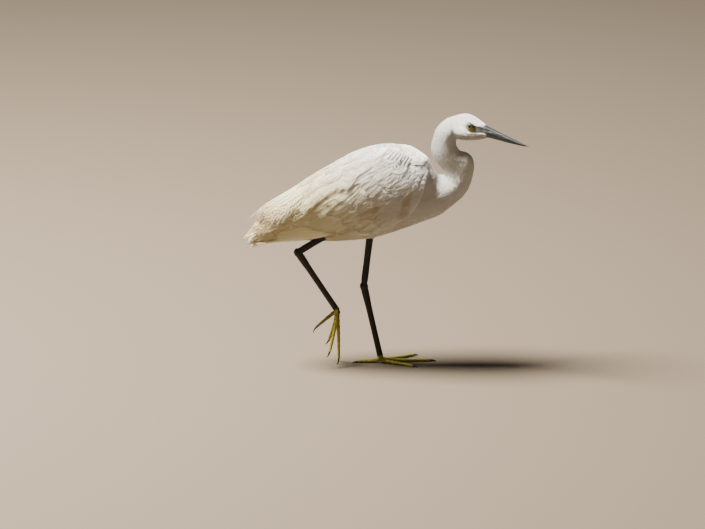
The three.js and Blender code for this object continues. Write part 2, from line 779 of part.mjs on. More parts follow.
function hangingToe(joint, name) {
  const { aim, curl, sole } = HANGING[name];
  const along = point(...aim).normalize();
  const bend = point(...curl);
  const length = TOE_LENGTHS[name];
  const at = (share) =>
    joint.clone().addScaledVector(along, length * share).addScaledVector(bend, length * share * share * 0.6);
  const across = point(0, 1, 0).addScaledVector(along, -along.y).normalize();
  const last = at(1).sub(at(0.85)).normalize();
  const down = point(...sole);
  down.addScaledVector(last, -down.dot(last)).normalize();
  return { path: [at(0), at(0.2), at(0.45), at(0.75), at(1)], end: at(1), along: last, down, across };
}

const FOOT_PAD = { half: point(5.4, 4.7, 3.9), below: 3.6 };

function foot(legName, toeShape) {
  const { joint } = LEGS[legName];
  const made = Object.keys(TOE_LENGTHS).map((name) => ({ name, ...toeShape(joint, name) }));
  const { half, below } = FOOT_PAD;
  const pad = new THREE.SphereGeometry(1, 10, 6).scale(half.x, half.y, half.z);
  pad.translate(joint.x, joint.y, joint.z - below);
  const claws = made.map(({ name, end, along, down }) => [
    `claw_${legName}_${name}`,
    aboveFloor(claw(end, along, down, CLAW_LENGTHS[name])),
  ]);
  const toes = made.map(({ path, name, across, end, along }) => behind(toe(path, name, across), end, along));
  return { toes: joined(solidOf(pad), toes).subtract(tarsus(LEGS[legName], GAP)), claws };
}

// Colours

const material = (color, roughness) => new THREE.MeshStandardMaterial({ color, roughness, metalness: 0 });
const MATERIALS = {
  plumage: material(0xf1eee6, 0.85),
  plume: material(0xeadfc4, 0.85),
  bill: material(0x3c4548, 0.35),
  eye: material(0xcdbb45, 0.08),
  leg: material(0x1c1e19, 0.45),
  toe: material(0x9a9436, 0.5),
  claw: material(0x1a1815, 0.35),
};

// Assembly

const egret = new THREE.Group();

function add(name, solid, finish) {
  const mesh = new THREE.Mesh(geometryOf(largest(solid)), MATERIALS[finish]);
  mesh.name = name;
  egret.add(mesh);
}

// Planes that part the neck: its base across the breast, and the crease where its two limbs press together.
const NECK_BASE = { at: point(101, 0, 276), normal: point(0.45, 0, 0.89) };
const NECK_FOLD = { at: point(112, 0, 300), normal: point(0.93, 0, -0.37) };
const NECK_TOP = { at: point(109, 0, 342), normal: point(0.55, 0, 0.83) };

const lowerLimb = neckLimb(LOWER_NECK, LOWER_EASE);
const neck = joined(lowerLimb, neckLimb(UPPER_NECK, 1), neckFill());
const torso = torsoLoft();
const breastRoom = behind(neckLimb(LOWER_NECK, LOWER_EASE, GAP), NECK_BASE.at, NECK_BASE.normal);
const torsoRoom = joined(torsoLoft(GAP), breastRoom);

const eyeRooms = [LEFT_SIDE, RIGHT_SIDE].map((side) => eyeball(side, GAP));
const billRooms = [mandible(UPPER_BILL, 1, BILL_TIP, GAP), mandible(LOWER_BILL, -1, BILL_TIP - 4, GAP)];
// The feather edge slants back over the bill's ridge from the chin.
const FACE_EDGE = headDirection(-0.82, 0, -0.57);
const headWhole = joined(
  headLoft(),
  aheadOf(neck, NECK_TOP.at, NECK_TOP.normal),
  [eyelid(LEFT_SIDE), eyelid(RIGHT_SIDE)],
);
const head = aheadOf(headWhole, NECK_TOP.at, NECK_TOP.normal)
  .trimByPlane(FACE_EDGE.toArray(), FACE_EDGE.dot(headPoint(CULMEN_BASE, 0, 6)))
  .subtract(joined(eyeRooms, billRooms))
  .subtract(joined(mouthCrease(LEFT_SIDE), mouthCrease(RIGHT_SIDE)));

const freeNeck = aheadOf(neck, NECK_BASE.at, NECK_BASE.normal);
const frontNeck = aheadOf(freeNeck, NECK_FOLD.at, NECK_FOLD.normal);
const rearNeck = behind(behind(freeNeck, NECK_FOLD.at, NECK_FOLD.normal), NECK_TOP.at, NECK_TOP.normal);
const breast = joined(torso, behind(lowerLimb, NECK_BASE.at, NECK_BASE.normal));

const shanks = Object.values(LEGS).map((leg) => shank(leg, GAP));
const legRooms = joined(Object.values(LEGS).map((leg) => thigh(leg, GAP)), shanks);

add("torso", breast.subtract(legRooms), "plumage");
add("neck_lower", frontNeck.subtract(torsoLoft(GAP)), "plumage");
add("neck_upper", rearNeck.subtract(torsoLoft(GAP)), "plumage");
add("head", head, "plumage");
for (const [name, side] of Object.entries({ left: LEFT_SIDE, right: RIGHT_SIDE })) {
  add(`eye_${name}`, eyeball(side), "eye");
}
const nostrils = joined(nostril(LEFT_SIDE), nostril(RIGHT_SIDE));
add("bill_upper", mandible(UPPER_BILL, 1, BILL_TIP).subtract(nostrils), "bill");
add("bill_lower", mandible(LOWER_BILL, -1, BILL_TIP - 4), "bill");

const backFeathers = [LEFT_SIDE, RIGHT_SIDE].flatMap((side) => [...scapulars(side), ...plumes(side)]);
add("mantle", joined(mantleCore(), backFeathers).subtract(torsoRoom), "plume");
for (const [name, side] of Object.entries({ left: LEFT_SIDE, right: RIGHT_SIDE })) {
  const wing = joined(wingCore(side), wingFeathers(side)).subtract(joined(torsoRoom, legRooms));
  add(`wing_${name}`, wing, "plumage");
}
add("tail", tail(torsoRoom), "plumage");

for (const [name, leg] of Object.entries(LEGS)) {
  add(`thigh_${name}`, thigh(leg).subtract(joined(shanks)), "plumage");
  add(`shank_${name}`, shank(leg).subtract(ankleRoom(leg)), "leg");
  add(`tarsus_${name}`, tarsus(leg), "leg");
  const { toes, claws } = foot(name, name === "left" ? standingToe : hangingToe);
  add(`foot_${name}`, aboveFloor(toes), "toe");
  for (const [clawName, solid] of claws) add(clawName, solid, "claw");
}

// The figure is centred over its bounding box, with its feet on the floor.
const box = new THREE.Box3().setFromObject(egret);
const centre = box.getCenter(new THREE.Vector3());
egret.position.set(-centre.x, -centre.y, -FLOOR);

export default egret;
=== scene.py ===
# %% [markdown]
# # A little egret, life size
# This lesson dresses the solid model of a wading egret with skin, feathers, bill, eyes and legs.
# The solid model is a fixed frame. Every piece made here lies where the frame says, in metres.

import math

import bmesh
import bpy
import numpy as np
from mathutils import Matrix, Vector
from mathutils.bvhtree import BVHTree


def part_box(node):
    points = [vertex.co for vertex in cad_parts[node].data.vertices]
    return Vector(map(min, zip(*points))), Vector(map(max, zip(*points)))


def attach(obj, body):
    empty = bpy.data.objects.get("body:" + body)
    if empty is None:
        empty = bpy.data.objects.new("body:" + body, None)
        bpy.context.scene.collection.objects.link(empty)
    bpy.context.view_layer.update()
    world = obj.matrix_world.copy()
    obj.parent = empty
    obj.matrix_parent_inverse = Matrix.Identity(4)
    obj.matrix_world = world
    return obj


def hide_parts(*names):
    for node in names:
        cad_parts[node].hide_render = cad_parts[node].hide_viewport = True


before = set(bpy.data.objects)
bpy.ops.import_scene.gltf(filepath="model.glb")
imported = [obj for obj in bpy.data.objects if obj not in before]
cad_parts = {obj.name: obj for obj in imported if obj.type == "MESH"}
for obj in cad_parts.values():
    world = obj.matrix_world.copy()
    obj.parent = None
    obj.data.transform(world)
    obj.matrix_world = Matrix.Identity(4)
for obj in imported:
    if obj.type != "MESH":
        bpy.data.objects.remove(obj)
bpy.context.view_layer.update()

# %% [markdown]
# ## The camera
# The bird was seen from its right side and a little above, from far away, so a long lens fits.
# The camera aims at the middle of the picture, which lies near the bird's ankles.

# %% Camera
AIM = Vector((-0.0493, 0.0061, 0.1477))
DISTANCE = 5.561
ELEVATION = math.radians(17)
FOCAL_LENGTH, SENSOR_WIDTH = 200, 36


def add_object(name, data):
    made = bpy.data.objects.new(name, data)
    bpy.context.scene.collection.objects.link(made)
    return made


lens = bpy.data.cameras.new("far_lens")
lens.lens, lens.sensor_width = FOCAL_LENGTH, SENSOR_WIDTH
lens.clip_start, lens.clip_end = 0.1, 50
camera = add_object("camera", lens)
camera.location = AIM + DISTANCE * Vector((0, -math.cos(ELEVATION), math.sin(ELEVATION)))
camera.rotation_euler = (math.radians(90) - ELEVATION, 0, 0)
bpy.context.scene.camera = camera
print("camera height in m:", round(camera.location.z, 2))

# %% [markdown]
# ## Smooth tables
# A bird has no flat faces, so each part is described by a few measured sections and a smooth
# curve through them. These are the same sections as in the solid model, in millimetres.
# Working on whole arrays at once keeps tens of thousands of feathers quick to place.

# %% A smooth curve through rows, and a few short sums
def smooth(rows):
    rows = np.array(rows, float)
    t, value = rows[:, 0], rows[:, 1:]
    low = np.maximum(np.arange(len(t)) - 1, 0)
    high = np.minimum(np.arange(len(t)) + 1, len(t) - 1)
    slope = (value[high] - value[low]) / (t[high] - t[low])[:, None]

    def at(x):
        x = np.asarray(x, float)
        i = np.clip(np.searchsorted(t, x, side="right") - 1, 0, len(t) - 2)
        span = (t[i + 1] - t[i])[..., None]
        s = np.clip((x - t[i])[..., None] / span, 0, 1)
        return (
            value[i] * (2 * s**3 - 3 * s**2 + 1) + span * slope[i] * (s**3 - 2 * s**2 + s)
            + value[i + 1] * (3 * s**2 - 2 * s**3) + span * slope[i + 1] * (s**3 - s**2)
        )

    return at


def unit(v):
    return v / np.maximum(np.linalg.norm(v, axis=-1, keepdims=True), 1e-9)


def dot(a, b):
    return (a * b).sum(-1)


def bell(x, centre, width):
    """1 at the centre, falling smoothly to 0 on both sides."""
    return np.exp(-(((x - centre) / width) ** 2))


def ramp(x, start, end):
    """0 before the start, 1 past the end and straight between. It can run downwards too."""
    return np.clip((x - start) / (end - start), 0, 1)


# %% The body's sections: place along the back, top, bottom and half-width
BODY_PITCH = math.radians(27)
BODY_CENTRE = (-10.0, 245.0)
WIDEST_SHARE = 0.56
BODY_ROWS = smooth([
    [-185, 20, 9, 3], [-165, 29, 6, 8], [-146, 36, 0, 13.5], [-128, 41, -9, 18], [-107, 45, -20, 23],
    [-80, 49, -35, 28.5], [-50, 53, -49, 33.5], [-18, 55, -61, 37], [14, 56, -67, 39], [44, 53, -71, 38.5],
    [70, 45, -71, 35], [89, 33, -61, 28], [101, 16, -44, 19], [106, 3, -30, 10],
])


def body_section(p):
    """Top, bottom, half-width and the height of the widest place, at places along the back."""
    top, bottom, half = np.moveaxis(BODY_ROWS(p), -1, 0)
    return top, bottom, half, bottom + (top - bottom) * WIDEST_SHARE


def body_to_world(p, y, q):
    c, s = math.cos(BODY_PITCH), math.sin(BODY_PITCH)
    p, y, q = np.broadcast_arrays(p, y, q)
    return np.stack([BODY_CENTRE[0] + p * c - q * s, y, BODY_CENTRE[1] + p * s + q * c], -1)


def body_point(p, angle):
    """A point on the body. The angle runs from the ridge of the back, positive to the left."""
    top, bottom, half, widest = body_section(p)
    reach = np.where(np.cos(angle) > 0, top - widest, widest - bottom)
    return body_to_world(p, half * np.sin(angle), widest + reach * np.cos(angle))


def on_body(p, angle, lift=0.0):
    """A point above the body, with the surface's own directions there."""
    p, angle, lift = np.broadcast_arrays(np.asarray(p, float), angle, lift)
    dp, da = 0.5, 0.01
    along_p = (body_point(p + dp, angle) - body_point(p - dp, angle)) / (2 * dp)
    along_a = (body_point(p, angle + da) - body_point(p, angle - da)) / (2 * da)
    normal = -unit(np.cross(along_p, along_a))
    at = body_point(p, angle)
    outward = at - body_to_world(p, 0.0, body_section(p)[3])
    normal = np.where(dot(normal, outward)[..., None] < 0, -normal, normal)
    return at + normal * lift[..., None], along_p, along_a, normal


# %% The neck's two limbs and the head
# For a limb: share of its way, place along x and z, then half-widths across and square to it.
# For the head: place ahead of the eyes, top, bottom, half-width.
LOWER_NECK = smooth([
    [0, 52, 230, 27, 28], [0.3, 88, 247, 29, 30], [0.55, 115, 261, 23, 22], [0.78, 124.5, 283, 18.2, 20.2],
    [0.9, 126.3, 296, 16.4, 18.6], [0.96, 125.4, 304, 12.5, 14], [1, 124.2, 308.5, 7.5, 8],
])
UPPER_NECK = smooth([
    [0, 124, 278, 12, 11], [0.2, 114.5, 292, 16.5, 16.5], [0.42, 102, 312, 16, 18.6],
    [0.62, 102, 330, 14.5, 16.5], [0.8, 109, 344, 14.5, 17], [1, 122, 352, 14, 16],
])
HEAD_YAW, HEAD_PITCH = math.radians(-30), math.radians(9.5)
HEAD_CENTRE = np.array([140.8, -11.0, 352.5])
HEAD_ROWS = smooth([
    [-44, -1, -16, 7], [-38, 4.6, -22, 11], [-28, 9, -26.5, 14], [-15, 11.4, -27, 15.2],
    [-2, 11.6, -25, 14.6], [8, 9.6, -21.4, 12.4], [16, 7, -17.6, 9.6], [23, 4.8, -14.4, 7.3],
    [31, 2.7, -12.4, 5.8],
])


def head_turn():
    cy, sy = math.cos(HEAD_YAW), math.sin(HEAD_YAW)
    cp, sp = math.cos(HEAD_PITCH), math.sin(HEAD_PITCH)
    return np.array([[cy, -sy, 0], [sy, cy, 0], [0, 0, 1]]) @ np.array([[cp, 0, sp], [0, 1, 0], [-sp, 0, cp]])


HEAD_TURN = head_turn()


def head_point(x, y, z):
    """x runs along the bill, y to the bird's left and z up, from midway between the eyes."""
    return np.stack(np.broadcast_arrays(np.asarray(x, float), y, z), -1) @ HEAD_TURN.T + HEAD_CENTRE


def head_direction(x, y, z):
    return unit(np.array([x, y, z], float) @ HEAD_TURN.T)


def to_head(points):
    return (points - HEAD_CENTRE) @ HEAD_TURN


def midline(rows):
    """The centres of a neck's sections, on the bird's middle plane."""
    return np.column_stack([rows[:, 0], np.zeros(len(rows)), rows[:, 1]])


# %% [markdown]
# The solid model is centred over its box, so these millimetres have to be shifted once.
# The left eye is a ball whose centre is known in both, which gives the shift.

# %% The shift from these tables to the frame
EYE_SIDE, EYE_X, EYE_Z, EYE_RADIUS = 8.3, 1.0, 0.5, 6.3
MM = 0.001
SIDES = (("left", 1), ("right", -1))
eye_low, eye_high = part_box("eye_left")
SHIFT = 500 * (np.array(eye_low) + np.array(eye_high)) - head_point(EYE_X, EYE_SIDE, EYE_Z)


def metres(points):
    return (np.asarray(points) + SHIFT) * MM


def millimetres(points):
    return points * 1000 - SHIFT


print("shift in mm:", SHIFT.round(2))

# %% [markdown]
# ## Meshes from arrays
# Blender can take whole arrays of corners and faces, which is far quicker than adding them one
# by one. Each tuft also carries a small patch of the map OFBake at its root's place on the skin,
# and a tone, so that neighbouring feathers differ a little.

# %% One mesh object from arrays
def read(items, field, width=3, kind=np.float32):
    """One field of all corners, edges or triangles of a mesh, as rows."""
    values = np.empty(len(items) * width, kind)
    items.foreach_get(field, values)
    return values.reshape(-1, width)


def move_corners(mesh, points):
    mesh.vertices.foreach_set("co", points.astype(np.float32).ravel())
    mesh.update()


def mesh_object(name, verts, tris, uv=None, tone=None, vane=None):
    verts, tris = np.asarray(verts, float).reshape(-1, 3), np.asarray(tris, np.int32).reshape(-1, 3)
    mesh = bpy.data.meshes.new(name)
    mesh.vertices.add(len(verts))
    mesh.vertices.foreach_set("co", metres(verts).astype(np.float32).ravel())
    mesh.loops.add(tris.size)
    mesh.loops.foreach_set("vertex_index", tris.ravel())
    mesh.polygons.add(len(tris))
    mesh.polygons.foreach_set("loop_start", np.arange(0, tris.size, 3, dtype=np.int32))
    mesh.polygons.foreach_set("use_smooth", np.ones(len(tris), bool))
    for title, values in (("OFBake", uv), ("vane", vane)):
        if values is not None:
            layer = mesh.uv_layers.new(name=title)
            layer.data.foreach_set("uv", np.asarray(values, np.float32)[tris.ravel()].ravel())
    if tone is not None:
        tones = mesh.attributes.new("tone", "FLOAT", "POINT")
        tones.data.foreach_set("value", np.asarray(tone, np.float32))
    mesh.update(calc_edges=True)
    mesh.validate()
    return add_object(name, mesh)


def net(rings, sides, shut=False):
    """Triangles over rings of points, from ring to ring, and from the last to the first if shut."""
    i, j = np.meshgrid(np.arange(rings if shut else rings - 1), np.arange(sides), indexing="ij")
    n, m = (i + 1) % rings, (j + 1) % sides
    a, b, c, d = i * sides + j, i * sides + m, n * sides + m, n * sides + j
    return np.concatenate([np.stack([a, b, c], -1).reshape(-1, 3), np.stack([a, c, d], -1).reshape(-1, 3)])


def facing_out(verts, tris):
    corners = verts[tris]
    volume = dot(corners[:, 0], np.cross(corners[:, 1], corners[:, 2])).sum()
    return tris[:, ::-1] if volume < 0 else tris


def loft(rings, start, end):
    """Closes a skin over rings of points, (rings, sides, 3), with one point at each end."""
    count, sides = rings.shape[:2]
    verts = np.concatenate([rings.reshape(-1, 3), [start, end]])
    j, k = np.arange(sides), (np.arange(sides) + 1) % sides
    first, last = np.full(sides, count * sides), (count - 1) * sides
    tris = [net(count, sides), np.stack([first, k, j], -1), np.stack([first + 1, last + j, last + k], -1)]
    return verts, facing_out(verts, np.concatenate(tris))


def spline(points, t):
    """A smooth path through points, at shares t of its way."""
    points = np.asarray(points, float)
    step = np.linalg.norm(np.diff(points, axis=0), axis=1) ** 0.5
    knots = np.concatenate([[0], np.cumsum(step)]) / step.sum()
    return smooth(np.column_stack([knots, points]))(t)


def around(count):
    return np.linspace(0, 2 * math.pi, count, endpoint=False)


TUBE_CAP = 0.45  # how far an end point stands out, as a share of the tube's smaller half-width


def tube(path, size_at, sides=24, steps=40, across=(0, 1, 0)):
    """A tube along a path of points. size_at gives half-widths along `across` and square to it."""
    t = np.linspace(0, 1, steps + 1)
    centre = spline(path, t)
    along = unit(np.gradient(centre, axis=0))
    across = np.asarray(across, float)
    wide = unit(across - along * dot(along, across)[:, None])
    deep = np.cross(along, wide)
    angle = around(sides)
    size = np.asarray(size_at(t))
    rings = (centre[:, None] + wide[:, None] * (size[:, :1] * np.cos(angle))[..., None]
             + deep[:, None] * (size[:, 1:2] * np.sin(angle))[..., None])
    cap = TUBE_CAP * size.min(1)
    return loft(rings, centre[0] - along[0] * cap[0], centre[-1] + along[-1] * cap[-1])


def bead(t, sizes, reach=1.0, least=0.0):
    """Half-widths that swell to the given sizes in the middle and draw in at both ends."""
    return np.sqrt(np.maximum(1 - (reach * (2 * t - 1)) ** 2, least))[:, None] * sizes


def joined(parts):
    """Several meshes as one pair of arrays."""
    starts = np.cumsum([0] + [len(part[0]) for part in parts[:-1]])
    return (np.concatenate([part[0] for part in parts]),
            np.concatenate([part[1] + start for part, start in zip(parts, starts)]))


# %% [markdown]
# ## Finishes
# Shader maths reads best as plain Python, so one small class wraps an output socket.
# Numbers that are the same all over are set on the shader itself, and only what varies is linked.

# %% Shader sockets as Python values
class Wire:
    def __init__(self, tree, socket=None):
        self.tree, self.socket = tree, socket

    def node(self, kind, settings=None, inputs=None, output=0):
        made = self.tree.nodes.new(kind)
        for name, value in (settings or {}).items():
            setattr(made, name, value)
        for name, value in (inputs or {}).items():
            if isinstance(value, Wire):
                self.tree.links.new(value.socket, made.inputs[name])
            else:
                made.inputs[name].default_value = value
        return Wire(self.tree, made.outputs[output])

    def maths(self, operation, *values):
        return self.node("ShaderNodeMath", {"operation": operation}, dict(enumerate((self, *values))))

    def __add__(self, other):
        return self.maths("ADD", other)

    def __sub__(self, other):
        return self.maths("SUBTRACT", other)

    def __mul__(self, other):
        return self.maths("MULTIPLY", other)

    def __truediv__(self, other):
        return self.maths("DIVIDE", other)

    def between(self, low, high, to_low=0.0, to_high=1.0):
        """Rises smoothly from one value to another while this one goes from low to high."""
        return self.node("ShaderNodeMapRange", {"interpolation_type": "SMOOTHSTEP"},
                         {"Value": self, 1: low, 2: high, 3: to_low, 4: to_high})

    def blend(self, first, second):
        """This value as a mask that goes from the first colour to the second."""
        first, second = [c if isinstance(c, Wire) else (*c, 1) for c in (first, second)]
        return self.node("ShaderNodeMix", {"data_type": "RGBA"}, {0: self, 6: first, 7: second}, 2)

    def noise(self, scale, detail=3.0, **more):
        return self.node("ShaderNodeTexNoise", {}, {"Vector": self, "Scale": scale, "Detail": detail, **more})

    def cells(self, scale):
        """The distance to the nearest border between small cells."""
        return self.node("ShaderNodeTexVoronoi", {"feature": "DISTANCE_TO_EDGE"},
                         {"Vector": self, "Scale": scale})

    def vector(self, operation, *others, output=0):
        return self.node("ShaderNodeVectorMath", {"operation": operation},
                         dict(enumerate((self, *[tuple(v) for v in others]))), output)

    def away_from(self, point):
        """From a point in millimetres to this place."""
        return self.vector("SUBTRACT", metres(point))

    def along(self, direction):
        return self.vector("DOT_PRODUCT", direction, output=1)

    def length(self):
        return self.vector("LENGTH", output=1)

    def patch(self, point, radii):
        """1 at a point in millimetres, falling softly to 0 at the radii, which are in metres."""
        return self.away_from(point).vector("DIVIDE", radii).length().between(1, 0.15)

    def split(self, axis):
        return self.node("ShaderNodeSeparateXYZ", {}, {0: self}, axis)

    def head_axes(self, point=(0.0, 0.0, 0.0)):
        """How far this place is ahead, to the left and above a point of the head, in metres."""
        away = self.away_from(head_point(*point))
        return [away.along(head_direction(*axis)) for axis in np.eye(3)]


def finish(name, **constants):
    """A new material. Its constants go on the shader's own sockets."""
    material = bpy.data.materials.new(name)
    material.use_nodes = True
    tree = material.node_tree
    shader = tree.nodes["Principled BSDF"]
    for title, value in constants.items():
        shader.inputs[title.replace("_", " ")].default_value = value
    wires = Wire(tree)
    place = wires.node("ShaderNodeTexCoord", output=3)

    def link(socket, wire):
        tree.links.new(wire.socket, shader.inputs[socket])

    def bump(height, distance, strength):
        link("Normal", wires.node("ShaderNodeBump", {}, {"Height": height, "Distance": distance,
                                                         "Strength": strength}))

    return material, place, link, bump


def dress(piece, material):
    piece.data.materials.clear()
    piece.data.materials.append(material)


# %% [markdown]
# ## Plumage
# A little egret is white all over, yet no part of it is plain white. The feathers are cream where
# light soaks into them, pond water has left ochre stains low on its flank, and the worn plumes
# are buff. Skin and feathers share these markings, read from the place on the object, so they
# agree wherever the skin shows between tufts.

# %% Plumage colours
STAIN_LIFT = 4.0
STAINS = [
    # place along the back, angle from the ridge, size in mm, strength
    (60, 99, (8, 14, 17), 0.8), (50, 110, (10, 14, 15), 0.9), (40, 122, (12, 14, 14), 0.8),
    (6, 103, (15, 16, 15), 0.9), (-12, 112, (20, 16, 13), 0.75), (-58, 128, (28, 24, 11), 0.6),
    (30, 150, (46, 30, 14), 0.5), (-84, 150, (36, 30, 13), 0.55), (92, 140, (18, 26, 17), 0.3),
]
WHITE, WARM_WHITE, GREY_WHITE = (0.88, 0.875, 0.85), (0.88, 0.85, 0.775), (0.80, 0.77, 0.69)
OCHRE, CREAM, BUFF, WING_TIP, TONED = ((0.52, 0.33, 0.16), (0.87, 0.75, 0.38), (0.55, 0.34, 0.10),
                                       (0.56, 0.30, 0.10), (0.78, 0.75, 0.68))


def plumage_colour(place):
    """White with drifts of cream, ochre stains low on the flank and buff at the plume tips."""
    colour = place.noise(22.0, 3.0).between(0.38, 0.66).blend(WHITE, WARM_WHITE)
    colour = (place.noise(240.0, 2.0).between(0.45, 0.8) * 0.16).blend(colour, GREY_WHITE)
    broken = place.noise(95.0, 4.0, Roughness=0.65).between(0.24, 0.6)
    for p, angle, size, strength in STAINS:
        spot = on_body(p, math.radians(-angle), STAIN_LIFT)[0]
        colour = (place.patch(spot, [MM * s for s in size]) * broken * strength).blend(colour, OCHRE)
    colour = place.patch(body_to_world(-118.0, 0.0, 34.0), (0.24, 0.18, 0.14)).blend(colour, CREAM)
    colour = place.patch(body_to_world(-158.0, 0.0, 48.0), (0.062, 0.09, 0.042)).blend(colour, BUFF)
    wing_tip = place.patch(body_to_world(-138.0, -14.0, 10.0), (0.006, 0.03, 0.013))
    return (wing_tip * broken * 0.8).blend(colour, WING_TIP)


def plumage(name, barbs=False):
    material, place, link, bump = finish(
        name, Roughness=0.72, Sheen_Weight=0.2, Sheen_Roughness=0.4, Specular_IOR_Level=0.25,
        Subsurface_Weight=0.4, Subsurface_Scale=0.002, Subsurface_Radius=(1.0, 0.92, 0.80))
    tone = place.node("ShaderNodeAttribute", {"attribute_name": "tone"}, {}, 2)
    link("Base Color", (tone * 0.35).blend(plumage_colour(place), TONED))
    if barbs:
        vane = place.node("ShaderNodeUVMap", {"uv_map": "vane"})
        comb = (vane.split(1) * 260.0 - vane.split(0).maths("ABSOLUTE") * 95.0).maths("SINE")
        bump(comb + place.noise(900.0, 2.0) * 1.4, 0.00012, 0.55)
    return material


FEATHER = plumage("feather_vanes", barbs=True)
DOWN = plumage("body_feathers")
print("plumage has", len(STAINS), "stains")

# %% [markdown]
# ## The skin
# Under its feathers the bird is one smooth skin. Lofts of the body, the two limbs of the folded
# neck, the head and the thighs overlap here, and a voxel remesh melts them into one closed
# surface without seams. It lies inside the solids by the depth of the feathers on it.

# %% Lofts under the coat
BELLY_DEPTH, SHOULDER_RISE, LOWER_NECK_DEPTH, HEAD_DEPTH = 4.0, 1.8, 2.4, 1.3


def coat_lift(p, angle):
    """How far the skin lies above the table's surface: level with it under the wings, else below."""
    low = np.degrees(np.abs(angle))
    under_wing = ramp(low, 118, 100) * ramp(p, 98, 86)
    return -BELLY_DEPTH + BELLY_DEPTH * under_wing + SHOULDER_RISE * ramp(p, 84, 94) * (1 - under_wing)


def body_skin():
    p = np.linspace(-134, 104, 70)[:, None]
    angle = (around(72)[None, :] + math.pi) % (2 * math.pi) - math.pi
    rings = on_body(p, angle, coat_lift(p, angle))[0]
    return loft(rings, rings[0].mean(0), rings[-1].mean(0) + [1.5, 0, 0.5])


def neck_skin(row_at, inset_at):
    path = midline(row_at(np.linspace(0, 1, 40)))
    return tube(path, lambda s: row_at(s)[:, 2:] - inset_at(s)[:, None], sides=40, steps=60)


def nape_inset(s):
    """The skin sinks towards the nape, to stay inside the solids there."""
    return 1.0 + 3.1 * bell(s, 0.92, 0.14)


def fold_fill():
    """The feathers in the fold of the neck fill the crease between its two limbs."""
    return tube([(117, 0, 281), (117, 0, 296), (117, 0, 311)], lambda t: bead(t, [15.0, 15.6], least=0.04))


def head_skin(inset):
    x = np.linspace(-44 + inset, 31 - inset, 60)[:, None]
    angle = around(48)[None, :]
    top, bottom, half = np.moveaxis(HEAD_ROWS(x), -1, 0)
    top = top + 1.5 * bell(x, -7, 12) - 4.2 * ramp(x, -16, -32)
    upper = np.clip(np.cos(angle) * 3 + 0.6, 0, 1)
    under_bill = 2.6 * (upper * ramp(x, 17, 25) + (1 - upper) * ramp(x, 19, 30))
    inset = inset * (1 - 0.75 * ramp(x, 4, 20)) + under_bill
    z = (top + bottom) / 2 + ((top - bottom) / 2 - inset) * np.cos(angle)
    rings = head_point(x, (half - inset) * np.sin(angle), z)
    return loft(rings, head_point(-46.0, 0.0, -4.0), head_point(31.5, 0.0, -4.2))


LEGS = {
    "left": {
        "thigh": [(6, 18, 214), (0.5, 19, 194), (-3, 17, 179)], "sizes": [(14, 16), (5.5, 6)], "inset": 2.0,
        "ankle": (-11.5, 16, 107.5), "joint": (12.4, 5, 3.5),
    },
    "right": {
        "thigh": [(-12, -22, 216), (-38, -24, 206), (-64, -17, 191.5)], "sizes": [(14, 19), (5.2, 6.4)],
        "inset": 2.2, "ankle": (-105, -14, 166.5), "joint": (-49.5, -4, 77),
    },
}


def thigh_skin(leg):
    first, last = np.array(leg["sizes"], float)
    return tube(leg["thigh"], lambda t: first + (last - first) * t[:, None]
                - leg["inset"] * (1 - 0.5 * t[:, None]))


verts, tris = joined([
    body_skin(), neck_skin(LOWER_NECK, lambda s: np.full(len(s), LOWER_NECK_DEPTH)),
    neck_skin(UPPER_NECK, nape_inset), fold_fill(), head_skin(HEAD_DEPTH),
    *[thigh_skin(leg) for leg in LEGS.values()],
])
skin_lofts = mesh_object("skin_lofts", verts, tris)
print("skin lofts:", len(tris), "triangles")

# %% Melt the lofts into one skin
SKIN_VOXEL = 0.0014


def remeshed(piece, name, voxel, rounds):
    """A copy of a mesh of overlapping lofts as one closed surface, smoothed."""
    melt = piece.modifiers.new("melt", "REMESH")
    melt.mode, melt.voxel_size, melt.use_smooth_shade = "VOXEL", voxel, True
    even = piece.modifiers.new("even", "SMOOTH")
    even.factor, even.iterations = 0.5, rounds
    return applied(piece, name)


def applied(piece, name):
    """A new piece with the modifiers of the given one made real. The given one is taken away."""
    baked = bpy.data.meshes.new_from_object(piece.evaluated_get(bpy.context.evaluated_depsgraph_get()))
    bpy.data.objects.remove(piece)
    return add_object(name, baked)


def ease(piece, centre, radius, rounds):
    """Smooths the skin round one place, softly up to the radius, in mm."""
    co = read(piece.data.vertices, "co").astype(float)
    ends = read(piece.data.edges, "vertices", 2, np.int32)
    a, b = np.concatenate([ends, ends[:, ::-1]]).T
    degree = np.bincount(a, minlength=len(co))[:, None]
    away = np.linalg.norm(co - metres(centre), axis=1) / (MM * radius)
    weight = 0.6 * np.clip(1.6 * (1 - away), 0, 1)[:, None]
    for _ in range(rounds):
        mean = np.stack([np.bincount(a, co[b, k], len(co)) for k in range(3)], 1) / degree
        co += weight * (mean - co)
    move_corners(piece.data, co)


skin = remeshed(skin_lofts, "skin", SKIN_VOXEL, 6)
ease(skin, (117, 0, 294), 27, 60)  # the fold of the neck
ease(skin, (104, 3, 360), 22, 60)  # the nape
print("skin:", len(skin.data.vertices), "corners")

# %% [markdown]
# The face is where a viewer looks first, so its part of the skin is divided finer. The bare lores
# sink in front of the eye, a crease runs back from the mouth under the eye, and the eye's ring
# rises round the socket.

# %% Face: finer skin with lores, mouth crease and sockets
# The line of the mouth: place ahead of the eyes, and height.
GAPE_LINE = smooth([[-6, -7.4], [3, -7.2], [12, -5.9], [21, -4.3], [40, -4.6]])
EYE_FORWARD = math.radians(12)
SOCKET_RADIUS, LID_REACH, RIM_RADIUS = 4.0, 5.5, 6.0


def eye_axis(side):
    return head_direction(math.sin(EYE_FORWARD), side * math.cos(EYE_FORWARD), 0.05)


def eye_centre(side):
    return head_point(EYE_X, side * EYE_SIDE, EYE_Z)


